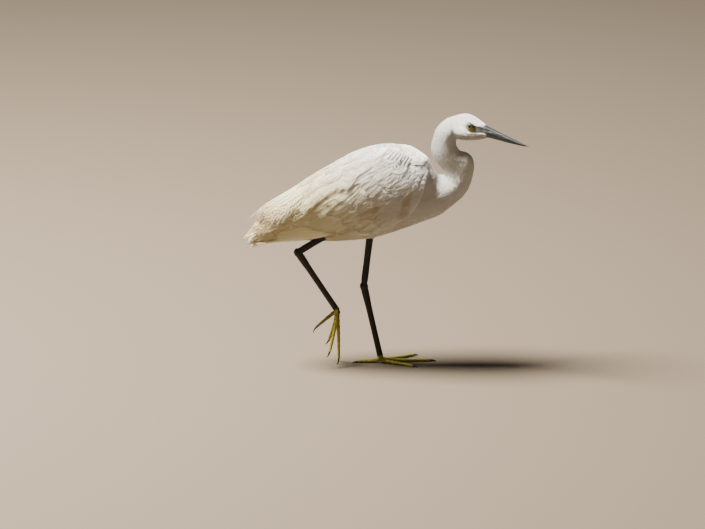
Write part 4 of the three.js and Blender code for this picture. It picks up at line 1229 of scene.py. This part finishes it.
# %% Wings
# Primaries, secondaries, tertials and the greatest coverts, lowest first.
FLIGHT_ROWS = [
    # count, roots low and high, tips low and high, width, lift, and what differs from a plain row
    (8, ((-60, 122), (-50, 66)), ((-166, 129), (-157, 56)), 17, 2.4,
     {"stations": 12, "fringe": 14, "barb": 0.05, "tilt": 0.3, "jitter": 1.2, "silk": 50}),
    (13, ((14, 124), (-46, 56)), ((-40, 131), (-120, 82)), 18, 3.0,
     {"stations": 11, "fringe": 14, "barb": 0.1, "tilt": 0.3, "jitter": 1.6, "silk": 70,
      "shape": POINTED_TIP}),
    (8, ((-34, 66), (-22, 40)), ((-138, 88), (-150, 46)), 16, 3.2,
     {"stations": 12, "fringe": 20, "barb": 0.12, "tilt": 0.3, "jitter": 2.5, "silk": 80,
      "shape": LANCE_TIP}),
    (13, ((34, 126), (-16, 46)), ((-14, 134), (-74, 66)), 17, 4.1,
     {"shape": SOFT_TIP, "stations": 10, "fringe": 14, "barb": 0.16, "tilt": 0.2, "silk": 80}),
]
# Root lines run from low at the wrist to high at the elbow. For shares across the small coverts:
# place and angle of the low root, of the high root, then length and turn of the low and high feather.
COVERT_ROWS = smooth([
    [0.00, 99, 72, 92, 36, 12, 4, 12, 1], [0.20, 93, 84, 74, 40, 20, 8, 22, 2],
    [0.45, 82, 98, 48, 42, 31, 14, 34, 3], [0.70, 62, 114, 14, 44, 40, 11, 42, 6],
    [1.00, 38, 122, -14, 46, 46, 8, 56, 14],
])
COVERT_SHARES = (0.86, 0.7, 0.57, 0.46, 0.36, 0.27, 0.19, 0.12, 0.06, 0.0)


def wing(name, side, seed):
    tract = Vanes(seed)
    for count, roots, tips, width, lift, more in FLIGHT_ROWS:
        tract.row(side, count, roots, tips, width, lift, shares=SHAFTED, **more)
    for share in COVERT_SHARES:
        p0, a0, p1, a1, long0, turn0, long1, turn1 = COVERT_ROWS(share)
        size = 6.5 + 12.0 * share
        count = int(math.hypot(p0 - p1, 0.63 * (a0 - a1)) / (0.52 * size)) + 1
        rise, front = min(share / 0.4, 1), share < 0.15
        tract.row(side, count, ((p0, a0), (p1, a1)), ((p0 - long0, a0 + turn0), (p1 - long1, a1 + turn1)),
                  size, 1.7 + 2.9 * rise, root_lift=0.5 + 3.0 * rise, jitter=1.8,
                  silk=int(34 + 54 * share) + (34 if front else 0), silk_from=0.04 if front else 0.3, **SOFT)
    return tract.build(f"wing_feathers_{name}")


wings = {name: wing(name, side, seed) for (name, side), seed in zip(SIDES, (31, 47))}

# %% [markdown]
# ## Mantle and scapulars
# The back is covered by soft, silky feathers that part along the ridge. The scapulars grow at its
# edges and hang over the wings in long lobes, and on this bird they cover half of the wing. The
# long back plumes lie over them and end in loose buff strands above the tail.

# %% Mantle, scapulars and back plumes
MANTLE_PLACES = (97, 92, 86, 80, 73, 66, 58, 50, 42, 33, 24, 14, 4, -7, -18, -30)
SCAPULAR_ROWS = [
    # count, roots low and high, tips low and high, width, lift low and high
    (7, ((-34, 34), (-52, 8)), ((-120, 62), (-138, 14)), 18, (4.8, 6.6)),
    (8, ((-8, 34), (-30, 10)), ((-92, 70), (-112, 18)), 19, (4.9, 7.2)),
    (8, ((14, 34), (-10, 12)), ((-58, 77), (-84, 22)), 19, (5.0, 7.6)),
    (9, ((36, 34), (10, 14)), ((-32, 86), (-58, 30)), 19, (5.1, 7.8)),
    (9, ((54, 36), (30, 15)), ((-12, 83), (-34, 32)), 18, (5.2, 8.0)),
    (9, ((70, 38), (48, 16)), ((14, 79), (-8, 32)), 17, (5.2, 8.2)),
    (9, ((84, 40), (62, 17)), ((38, 75), (18, 30)), 16, (4.9, 7.8)),
    (9, ((94, 38), (76, 17)), ((60, 66), (42, 29)), 15, (4.3, 6.6)),
    (9, ((101, 34), (88, 14)), ((80, 54), (64, 27)), 13, (3.0, 4.6)),
]


def mantle():
    tract = Vanes(61)
    for p in MANTLE_PLACES:
        share = (97 - p) / 127
        long, size, half = 15 + 46 * share, 9 + 7 * share, 33 if p < 90 else 30
        wide = half * (1.15 + 0.75 * share)
        lift = float(1.4 + 6.8 * ramp(p, 98, 46))
        tract.row(1, int(2 * half * 0.64 / (0.5 * size)) + 1, ((p, -half), (p, half)),
                  ((p - long, -wide), (p - long, wide)), size, lift, root_lift=lift - 1.3, fringe=11,
                  barb=0.2, bow=0, jitter=4.5, silk=int(66 + 28 * share),
                  silk_from=0.02 if p > 40 else 0.2, **SOFT)
    return tract.build("mantle_feathers")


def scapulars(name, side, seed):
    tract = Vanes(seed)
    for count, roots, tips, size, (low, high) in SCAPULAR_ROWS:
        lift = np.linspace(low, high, count)
        root_lift = np.maximum(lift - (1.7 if size > 15 else 3.4), 0.4)
        tract.row(side, count, roots, tips, size, lift, root_lift=root_lift, shape=LANCE_TIP, stations=10,
                  fringe=12, barb=0.16, jitter=3.0, tilt=0.22, bow=3.0, thick=0.18, silk=80, silk_from=0.2)
    return tract.build(f"scapulars_{name}")


mantle_feathers = mantle()
scapular_feathers = [scapulars(name, side, seed) for (name, side), seed in zip(SIDES, (73, 74))]

# %% [markdown]
# A back plume is a thin shaft with loose barbs on both sides. They stand further out towards the
# tip, so the strands end in a soft spray.

# %% Back plumes
PLUME_COUNT, PLUME_BARBS, PLUME_WIDTH = 22, 34, 17.0
PLUME_ROOTS, PLUME_TIPS = ((-26, 30), (-14, 2)), ((-122, 62), (-136, 4))
PLUME_SHAFT = smooth([[0, 1], [0.5, 0.9], [1, 0.25]])
PLUME_SPREAD = smooth([[0, 0.25], [0.4, 0.8], [1, 1]])


def plumes():
    tract = Vanes(89)
    rng = tract.rng
    for side in (1, -1):
        shaft = tract.row(side, PLUME_COUNT, PLUME_ROOTS, PLUME_TIPS, 1.3, 8.4, root_lift=6.2,
                          shape=PLUME_SHAFT, stations=12, shares=(-1, 0, 1), fringe=0, flare=4.0,
                          jitter=5.0, tilt=0.0, bow=0.0, tone=0.6)
        spray = {**shaft, "width": np.full((PLUME_COUNT, 1), PLUME_WIDTH), "shape": PLUME_SPREAD}
        edge = np.tile([-1.0, 1.0], (PLUME_COUNT, PLUME_BARBS // 2))
        s = np.linspace(0.1, 0.95, PLUME_BARBS) + rng.normal(0, 0.012, edge.shape)
        reach = 0.17 * rng.normal(1, 0.25, s.shape).clip(0.4, 1.7)
        out = rng.normal(0.75, 0.25, s.shape).clip(0.2, 1.3)
        places = [on_feathers(spray, s + reach * t, edge * out * t**0.8) for t in SILK_TIMES]
        centre = np.stack(places, 2).reshape(-1, 4, 3)
        tone = np.repeat(rng.uniform(0.4, 0.9, PLUME_COUNT), PLUME_BARBS)
        tract.strands(centre, body_under(shaft, s), np.tile([0.5, 0.42, 0.3], (len(centre), 1)), 0.3,
                      np.repeat(vane_uv(side, shaft["root"]), PLUME_BARBS, 0), tone)
    return tract.build("back_plumes")


plume_strands = plumes()

# %% [markdown]
# ## The tail
# Twelve short, round-ended feathers lie stacked like a fan that is nearly closed, the middle
# pair on top. They follow straight lines, so each is placed by its rank in the fan. Three rows of
# soft coverts close the rump over them, between the folded wings.

# %% Tail
TAIL_ROOT, TAIL_TIP = (-98.0, 4.5), (-176.0, 17.5)  # place along the back, and height over it
TAIL_PAIRS, TAIL_BARBS, TAIL_HALF_WIDTH = 6, 22, 7.0
FAN_START, FAN_STEP = 1.0, 1.15  # degrees from the middle plane, for the first pair and for each more
STACK_STEP = 1.15  # how far each pair lies under the one before
TAIL_SHARES = (-1, -0.6, -0.08, 0, 0.08, 0.6, 1)
RUMP_ROWS = ((-104, 62, 1.6), (-96, 56, 2.6), (-88, 52, 3.6))  # place along the back, length, lift


def on_tail(side, rank, s, share):
    """Points on a tail feather of one rank in the fan, at shares of its length and half-width."""
    p = TAIL_ROOT[0] + (TAIL_TIP[0] + 1.5 * rank - TAIL_ROOT[0]) * s
    spread = math.tan(math.radians(FAN_START + FAN_STEP * rank))
    away = side * (1.2 + (TAIL_ROOT[0] - p) * spread + 1.1 * rank * (1 - s))
    q = TAIL_ROOT[1] + (TAIL_TIP[1] - TAIL_ROOT[1]) * s - STACK_STEP * rank - 0.16 * np.abs(away)
    half = TAIL_HALF_WIDTH * ROUND_TIP(np.clip(s, 0, 1))[..., 0] * share
    return body_to_world(p, away + half, q - 0.2 * side * half - 0.5 * np.abs(share) ** 2)


def tail():
    tract = Vanes(97)
    rng, barbs = tract.rng, 2 * TAIL_BARBS
    grid_s, grid_share = np.meshgrid(np.linspace(0, 1, 12), TAIL_SHARES, indexing="ij")
    up = unit(body_to_world(0.0, 0.0, 1.0) - body_to_world(0.0, 0.0, 0.0))
    for side in (1, -1):
        for rank in range(TAIL_PAIRS):
            notch = 1 - 0.08 * rng.random(grid_share.shape) * (np.abs(grid_share) > 0.9)
            top = on_tail(side, rank, grid_s, grid_share * notch)[None]
            uv = np.array([[0.5 + side * 0.06 * (rank + 1), 0.5]])
            tract.plates(top, side, grid_s, grid_share, 0.35, uv, np.array([0.3 + 0.1 * rng.random()]))
            edge, along = np.repeat([-1.0, 1.0], TAIL_BARBS), np.tile(np.linspace(0.35, 0.985, TAIL_BARBS), 2)
            reach = 0.045 * rng.normal(1, 0.25, barbs).clip(0.4, 1.7)
            centre = np.stack([on_tail(side, rank, along + reach * t, edge * share)
                               for t, share in ((0.0, 0.8), (0.5, 1.0), (1.0, 1.16))], 1)
            tract.strands(centre, np.tile(up, (barbs, 1)), np.tile([0.8, 0.55], (barbs, 1)), 0.2,
                          np.repeat(uv, barbs, 0), np.full(barbs, 0.35))
    for p, long, lift in RUMP_ROWS:
        tract.row(1, 10, ((p, -34), (p, 34)), ((p - long, -52), (p - long, 52)), 16, lift,
                  root_lift=lift - 0.8, stations=9, fringe=12, barb=0.14, bow=0, jitter=3.0, silk=50, **SOFT)
    return tract.build("tail_feathers")


tail_feathers = tail()

# %% [markdown]
# ## The bill
# The bill is two long horny halves that meet along the gape. Each half is a loft: an arch over the
# flat line of the mouth, narrowing to the tip. The nostril is a slit at the front of a shallow
# groove, and the ridge is darkest.

# %% Bill
# Place ahead of the eyes, height of the outer edge, half-width.
UPPER_BILL = smooth([
    [10, 4.6, 6.0], [16, 5.0, 6.3], [21, 4.8, 6.0], [28, 3.8, 5.2], [36, 2.7, 4.5], [52, 0.5, 3.5],
    [68, -1.9, 2.7], [82, -3.7, 1.8], [90, -4.6, 1.2],
])
LOWER_BILL = smooth([
    [10, -10.4, 5.6], [18, -11.0, 5.7], [25, -11, 5.1], [34, -10.6, 4.4], [44, -10, 3.8], [62, -8.8, 2.7],
    [78, -7.3, 1.7], [86, -6.4, 1.1],
])
BILL_ROOT = 10
BILL_HALVES = (("upper", UPPER_BILL, 1, 92), ("lower", LOWER_BILL, -1, 88))


def gape_at(x):
    return -4.2 - 0.9 * np.maximum(x - 21, 0) / 71


def bill_half(row_at, side, tip):
    x = np.linspace(BILL_ROOT, tip - 0.8, 110)[:, None]
    edge, half = np.moveaxis(row_at(np.minimum(x, tip - 2)), -1, 0)
    taper = np.sqrt(np.clip((tip - x) / 2.4, 0.02, 1))
    arch = np.linspace(0, math.pi, 37)[None]
    flat = gape_at(x) + side * 0.08
    y = half * np.sign(np.cos(arch)) * np.abs(np.cos(arch)) ** 0.92 * taper
    z = flat + (edge - flat) * np.sin(arch) ** 0.82 * taper
    if side > 0:
        # a groove runs forward from the nostril, and the nostril is a slit in it
        above = z - (0.2 - 0.045 * (x - 24))
        groove = bell(above, 0, 0.55) * ramp(x, 18, 23) * ramp(x, 56, 34)
        slit = bell(above, 0, 0.42) * np.exp(-(((x - 28.5) / 3.6) ** 4))
        y = y * (1 - 0.055 * groove) - np.sign(y) * 1.1 * slit * (np.abs(y) > 1.2)
    else:
        y = y * (1 - 0.04 * bell(z, 0.03 * (x - 24) - 8.0, 0.5) * ramp(x, 52, 32))
    # the inner face, from one side of the flat line to the other
    share = np.linspace(0, 1, 9)[None, 1:-1]
    inner_y = half * taper * (2 * share - 1)
    inner_z = flat + side * 0.25 * np.sin(math.pi * share) + 0 * x
    rings = np.concatenate([head_point(x, y, z), head_point(x, inner_y, inner_z)], 1)
    return loft(rings, rings[0].mean(0), head_point(float(tip), 0.0, gape_at(tip) + side * 0.3))


def bill_finish():
    material, place, link, bump = finish("bill_horn", Roughness=0.4, Coat_Weight=0.15, Coat_Roughness=0.3)
    ahead, left, up = place.head_axes()
    streak = place.node("ShaderNodeCombineXYZ", {}, {0: ahead * 60.0, 1: left * 700.0, 2: up * 900.0})
    grain = streak.noise(1.0, 4.0)
    colour = ahead.between(0.030, 0.080).blend((0.018, 0.021, 0.024), (0.008, 0.009, 0.010))
    colour = (grain.between(0.45, 0.72) * 0.45).blend(colour, (0.062, 0.072, 0.080))
    ridge = (up - ahead * -0.13).between(0.0050, 0.0078)
    colour = (ridge * 0.6).blend(colour, (0.012, 0.014, 0.016))
    # painted highlight: a pale stripe midway along the bottom edge of the lower bill, where the sun catches
    # it
    keel_highlight = (up + ahead * -0.045).between(-0.0094, -0.0112) * ahead.between(0.062, 0.040)
    colour = (keel_highlight * 0.75).blend(colour, (0.46, 0.43, 0.36))
    base = ahead.between(0.030, 0.019) * up.between(0.001, -0.004)
    link("Base Color", (base * 0.45).blend(colour, (0.30, 0.30, 0.22)))
    link("Roughness", grain.between(0.3, 0.8, 0.36, 0.54))
    bump(grain + place.noise(700.0, 2.0) * 0.4, 0.00012, 0.5)
    return material


BILL_HORN = bill_finish()
bill = {}
for name, rows, side, tip in BILL_HALVES:
    bill[name] = mesh_object(f"bill_{name}_half", *bill_half(rows, side, tip))
    dress(bill[name], BILL_HORN)
    print(f"bill {name}:", len(bill[name].data.polygons), "triangles")

# %% [markdown]
# ## The legs
# Each leg is one skin: shank, swollen ankle, tarsus, and four toes round a small pad. Tubes along
# the bones are melted together, as the body was, with a finer voxel, so toes web softly.
# Black of the leg gives way to olive yellow at the foot.

# %% Bones of the legs and toes
TOE_LENGTHS = {"hind": 32, "inner": 50, "middle": 71, "outer": 56}
TOE_JOINTS = {"hind": 2, "inner": 3, "middle": 4, "outer": 5}
CLAW_LENGTHS = {"hind": 11, "inner": 8, "middle": 11, "outer": 8}
STANDING_SPREAD = {"hind": 184, "inner": -24, "middle": 4, "outer": 31}
STANDING_HEIGHTS = ((0, 4.4), (0.1, 3.6), (0.25, 2.5), (0.6, 2.0), (1, 1.6))
HANGING = {
    # the toe's direction, its curl and the side of its sole
    "hind": ((-0.8, 0.02, -0.6), (-0.15, 0, -0.25), (0.5, 0, -1)),
    "inner": ((-0.12, 0.3, -0.95), (-0.22, 0.05, -0.1), (-1, 0, 0)),
    "middle": ((0.06, -0.01, -1), (-0.05, 0, 0), (-1, 0, 0)),
    "outer": ((-0.1, -0.28, -0.95), (-0.16, -0.05, -0.1), (-1, 0, 0)),
}
FLOOR_LEVEL = -3.5
LIMB_SIZES = {
    # share of the way, half-width across and half-width fore and aft
    "shank": smooth([[0, 2.2, 2.6], [0.15, 4.2, 5.0], [0.6, 3.8, 4.8], [0.86, 4.0, 5.0], [0.96, 3.6, 4.2],
                     [1, 1.6, 1.8]]),
    "tarsus": smooth([[0, 1.8, 2.2], [0.035, 4.2, 5.0], [0.14, 4.2, 5.2], [0.3, 3.7, 4.5], [0.75, 3.5, 4.3],
                      [0.93, 3.9, 4.4], [1, 4.1, 4.4]]),
}


def standing_toe(joint, name):
    heading = math.radians(STANDING_SPREAD[name])
    out = np.array([math.cos(heading), math.sin(heading), 0.0])
    foot = np.array([joint[0], joint[1], FLOOR_LEVEL])
    path = [foot + out * TOE_LENGTHS[name] * share + [0, 0, height] for share, height in STANDING_HEIGHTS]
    return np.array(path), out, np.array([0, 0, -1.0])


def hanging_toe(joint, name):
    aim, curl, sole = [np.array(v, float) for v in HANGING[name]]
    share = np.array([[0], [0.2], [0.45], [0.75], [0.85], [1]])
    path = joint + (unit(aim) * share + curl * share * share * 0.6) * TOE_LENGTHS[name]
    last = unit(path[5] - path[4])
    return np.delete(path, 4, 0), last, unit(sole - last * dot(sole, last))


def toe_radius(t, name):
    return (2.9 - 1.2 * t) * (1 + 0.15 * np.cos(2 * math.pi * TOE_JOINTS[name] * t) ** 8)


def claw(end, along, down, length):
    path = [end - along * 1.5] + [end + (along * ahead + down * drop) * length
                                  for ahead, drop in ((0.5, 0.05), (0.85, 0.2), (1, 0.32))]
    return tube(path, lambda t: np.array([1.35, 1.75]) - np.array([1.1, 1.45]) * t[:, None] ** 0.9,
                sides=20, steps=24, across=np.cross(along, down))


def leg_parts(name, leg):
    """The paths of a leg's limbs, its toes, and tubes along all of them."""
    knee, cuff, ankle, joint = np.array([*leg["thigh"][1:], leg["ankle"], leg["joint"]], float)
    inward, down = -np.sign(cuff[1]), unit(joint - ankle)
    limbs = {"shank": [knee + (cuff - knee) * 0.35 + [0, 5 * inward, 4], cuff + [0, inward, 1.2],
                       ankle + (cuff - ankle) * 0.45 + [0, 0, 0.8], ankle],
             "tarsus": [ankle, (ankle + joint) / 2, joint]}
    toes = {toe: (standing_toe if name == "left" else hanging_toe)(joint, toe) for toe in TOE_LENGTHS}
    ball = [ankle + down * share for share in (-6.0, 0.5, 8.0)]
    pad = joint + [[-3.5, 0, -1.5], [0, 0, -2.6], [3.5, 0, -2.2]]
    tubes = [tube(path, LIMB_SIZES[limb]) for limb, path in limbs.items()]
    tubes.append(tube(ball, lambda t: bead(t, [4.9, 6.0], reach=0.95), steps=24))
    tubes.append(tube(pad, lambda t: np.tile([3.6, 3.0], (len(t), 1)), steps=12))
    for toe, (path, along, sole) in toes.items():
        tubes.append(tube(path, lambda t: np.tile(toe_radius(t, toe), (2, 1)).T, sides=16, steps=60,
                          across=np.cross(along, sole)))
    return {"lofts": joined(tubes), "limbs": limbs, "toes": toes, "joint": joint, "down": down}


LEG_PARTS = {name: leg_parts(name, leg) for name, leg in LEGS.items()}
print("toes:", {name: list(parts["toes"]) for name, parts in LEG_PARTS.items()})

# %% Leg skins
LEG_VOXEL = 0.0006


def flat_sole(piece):
    """Presses whatever reaches under the floor flat onto it."""
    co = read(piece.data.vertices, "co")
    co[:, 2] = np.maximum(co[:, 2], 0.0)
    move_corners(piece.data, co)


def leg_finish(name):
    material, place, link, bump = finish(f"leg_scales_{name}", Roughness=0.5, Specular_IOR_Level=0.3)
    from_joint = place.away_from(LEG_PARTS[name]["joint"])
    below = from_joint.along(LEG_PARTS[name]["down"])
    mottle = place.noise(260.0, 4.0, Roughness=0.6)
    black = mottle.between(0.4, 0.75).blend((0.006, 0.006, 0.005), (0.022, 0.021, 0.015))
    yellow = mottle.between(0.35, 0.7).blend((0.30, 0.25, 0.015), (0.42, 0.38, 0.05))
    yellow = (place.noise(700.0, 3.0).between(0.5, 0.75) * 0.6).blend(yellow, (0.10, 0.09, 0.015))
    colour = (below + mottle * 0.008 - 0.004).between(-0.006, 0.0005).blend(black, yellow)
    if name == "right":
        # the hanging toes are darker on their fronts, partly their own darker tops and partly painted shade
        # on the side away from the key light, and the hind toe is painted dark as shade
        x, z = from_joint.split(0), from_joint.split(2)
        upper = (x - z * -0.06 + mottle * 0.0012).between(0.0004, 0.0026)
        # painted shade: the hind toe is darkened over its middle, where it hangs in shadow
        hind = x.between(-0.004, -0.009) * z.between(-0.030, -0.024)
        colour = (upper.maths("MAXIMUM", hind * 0.7) * 0.9).blend(colour, (0.020, 0.019, 0.012))
    link("Base Color", colour)
    bump(place.cells(620.0).between(0.0, 0.16) + place.noise(1300.0, 2.0) * 0.25, 0.00022, 0.7)
    return material


legs = {}
for name, parts in LEG_PARTS.items():
    legs[name] = remeshed(mesh_object(f"leg_lofts_{name}", *parts["lofts"]), f"leg_skin_{name}", LEG_VOXEL, 3)
    flat_sole(legs[name])
    dress(legs[name], leg_finish(name))
    print(f"leg {name}:", len(legs[name].data.polygons), "faces")

# %% [markdown]
# ## Scutes
# The fronts of the legs and the tops of the toes carry rows of shield-like scutes. They repeat
# along a path, which is work for Geometry Nodes: one small shield is set on every point, turned
# to its surface and sized by the point, and the shields are then made real.

# %% Scutes by Geometry Nodes
SCUTE_SIZE = (0.001, 0.001, 0.00035)  # half of the length, width and height of a plain shield, in metres


def scute_tree(name):
    tree = bpy.data.node_groups.new(f"rows_of_scutes_{name}", "GeometryNodeTree")
    for way in ("INPUT", "OUTPUT"):
        tree.interface.new_socket("Geometry", in_out=way, socket_type="NodeSocketGeometry")

    def add(kind, inputs, **settings):
        made = tree.nodes.new(kind)
        for title, value in settings.items():
            setattr(made, title, value)
        for title, value in inputs.items():
            if isinstance(value, bpy.types.NodeSocket):
                tree.links.new(value, made.inputs[title])
            else:
                made.inputs[title].default_value = value
        return made.outputs[0] if made.outputs else None

    def field(title):
        return add("GeometryNodeInputNamedAttribute", {"Name": title}, data_type="FLOAT_VECTOR")

    align = "FunctionNodeAlignRotationToVector"
    points = add("NodeGroupInput", {})
    shield = add("GeometryNodeMeshUVSphere", {"Segments": 12, "Rings": 6, "Radius": 1.0})
    shaped = add("GeometryNodeTransform", {"Geometry": shield, "Scale": SCUTE_SIZE})
    turn = add(align, {"Vector": field("outward")}, axis="Z")
    turn = add(align, {"Vector": field("along"), "Rotation": turn}, axis="X", pivot_axis="Z")
    copies = add("GeometryNodeInstanceOnPoints",
                 {"Points": points, "Instance": shaped, "Rotation": turn, "Scale": field("size")})
    real = add("GeometryNodeRealizeInstances", {"Geometry": copies})
    coloured = add("GeometryNodeSetMaterial", {"Geometry": real, "Material": legs[name].data.materials[0]})
    add("NodeGroupOutput", {"Geometry": coloured})
    return tree


def scute_points(path, radius_at, outward, first, last, count, width, length):
    """Points along the upper side of a limb: place, outward direction, lie and size of each scute."""
    t = np.linspace(first, last, count)
    centre = spline(path, np.linspace(0, 1, 200))
    pick = (t * 199).astype(int)
    centre, along = centre[pick], unit(np.gradient(centre, axis=0))[pick]
    outward = unit(outward - along * dot(outward, along)[:, None])
    radius = radius_at(t)
    size = np.column_stack([np.full(count, length), width * radius / radius.max(), np.ones(count)])
    return centre + outward * (radius * 0.93)[:, None], outward, along, size


def scutes(name):
    rows, parts = [], LEG_PARTS[name]
    for swing in (-0.42, 0.42):
        for limb, first, last, count in (("tarsus", 0.09, 0.97, 40), ("shank", 0.45, 0.93, 24)):
            rows.append(scute_points(parts["limbs"][limb], lambda t: LIMB_SIZES[limb](t)[:, 1] * 0.97,
                                     np.array([1.0, swing, 0.25]), first, last, count, 1.5, 1.5))
    for toe, (path, _, sole) in parts["toes"].items():
        rows.append(scute_points(path, lambda t: toe_radius(t, toe), -sole, 0.12, 0.98,
                                 int(TOE_LENGTHS[toe] / 2.5), 1.9, 1.45))
    place, outward, along, size = [np.concatenate(column) for column in zip(*rows)]
    mesh = bpy.data.meshes.new(f"scute_points_{name}")
    mesh.from_pydata([tuple(v) for v in metres(place)], [], [])
    for title, values in (("outward", outward), ("along", along), ("size", size)):
        mesh.attributes.new(title, "FLOAT_VECTOR", "POINT").data.foreach_set(
            "vector", values.astype(np.float32).ravel())
    points = add_object(f"scute_points_{name}", mesh)
    points.modifiers.new("rows", "NODES").node_group = scute_tree(name)
    piece = applied(points, f"scutes_{name}")
    piece.data.polygons.foreach_set("use_smooth", np.ones(len(piece.data.polygons), bool))
    flat_sole(piece)
    print(f"scutes {name}:", len(place), "shields")
    return piece


leg_scutes = {name: scutes(name) for name in LEGS}

# %% [markdown]
# Each toe ends in a claw of dark horn, drawn out along the toe and bent towards the sole.

# %% Claws
def claw_finish():
    material, place, link, bump = finish("claw_horn", Roughness=0.3, Coat_Weight=0.3, Coat_Roughness=0.2)
    grain = place.noise(500.0, 3.0)
    link("Base Color", grain.between(0.35, 0.7).blend((0.010, 0.009, 0.008), (0.045, 0.038, 0.028)))
    bump(grain, 0.0001, 0.5)
    return material


CLAW_HORN = claw_finish()
claws = {}
for name, parts in LEG_PARTS.items():
    for toe, (path, along, sole) in parts["toes"].items():
        piece = mesh_object(f"claw_horn_{name}_{toe}", *claw(path[-1], along, sole, CLAW_LENGTHS[toe]))
        flat_sole(piece)
        dress(piece, CLAW_HORN)
        claws[f"claw_{name}_{toe}"] = piece
print("claws:", len(claws))

# %% [markdown]
# ## Floor and light
# The bird stands on a plain pale floor. A soft warm key light from high over the tail gives a bright
# back and a shaded flank, and weak lights from the other sides keep the shadows open.

# %% The floor and the light
MIDDLE = (0.0, 0.0, 0.22)
LAMPS = [
    # name, place, size in metres, power in watts, colour
    ("key", (-1.40, 0.08, 2.55), 0.9, 600, (1.0, 0.95, 0.86)),
    ("sky", (1.2, -2.2, 1.3), 2.4, 1.6, (0.80, 0.88, 1.0)),
    ("bounce", (0.1, -1.5, 0.15), 0.8, 1.2, (1.0, 0.64, 0.32)),
    ("back", (0.6, 2.2, 1.3), 1.6, 6, (1.0, 0.98, 0.95)),
]
FLOOR_REACH, FLOOR_DROP = 30, -0.0005

floor_mesh = bpy.data.meshes.new("floor")
floor_mesh.from_pydata([(x * FLOOR_REACH, y * FLOOR_REACH, FLOOR_DROP)
                        for x, y in ((-1, -1), (1, -1), (1, 1), (-1, 1))], [], [(0, 1, 2, 3)])
floor = add_object("floor", floor_mesh)
dress(floor, finish("pale_floor", Base_Color=(0.13, 0.101, 0.071, 1), Roughness=0.9)[0])

for name, place, size, power, colour in LAMPS:
    lamp = bpy.data.lights.new(name, "AREA")
    lamp.shape, lamp.size, lamp.energy, lamp.color = "DISK", size, power, colour
    thing = add_object(name, lamp)
    thing.location = place
    thing.rotation_euler = (Vector(MIDDLE) - Vector(place)).to_track_quat("-Z", "Y").to_euler()
world = bpy.data.worlds.new("studio")
world.use_nodes = True
background = world.node_tree.nodes["Background"]
background.inputs["Color"].default_value = (0.80, 0.85, 0.92, 1)
background.inputs["Strength"].default_value = 0.05
bpy.context.scene.world = world
print("lamps:", len(LAMPS))

# %% [markdown]
# ## Binding
# The bird is one still body, so every piece rides on the root. The solids that the pieces take the place of
# are hidden.

# %% Bind, and hide the solids that pieces replace
pieces = [skin, lids, *eyes.values(), *coat, *wings.values(), mantle_feathers, *scapular_feathers,
          plume_strands, tail_feathers, *bill.values(), *legs.values(), *leg_scutes.values(), *claws.values()]
for piece in pieces:
    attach(piece, "root")
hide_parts("torso", "neck_lower", "neck_upper", "head", "thigh_left", "thigh_right")
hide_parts("mantle")
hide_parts("tail")
for name, _ in SIDES:
    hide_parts(f"eye_{name}")
    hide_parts(f"wing_{name}")
    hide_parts(f"shank_{name}", f"tarsus_{name}", f"foot_{name}")
for name, piece in bill.items():
    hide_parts(f"bill_{name}")
for name, piece in claws.items():
    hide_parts(name)
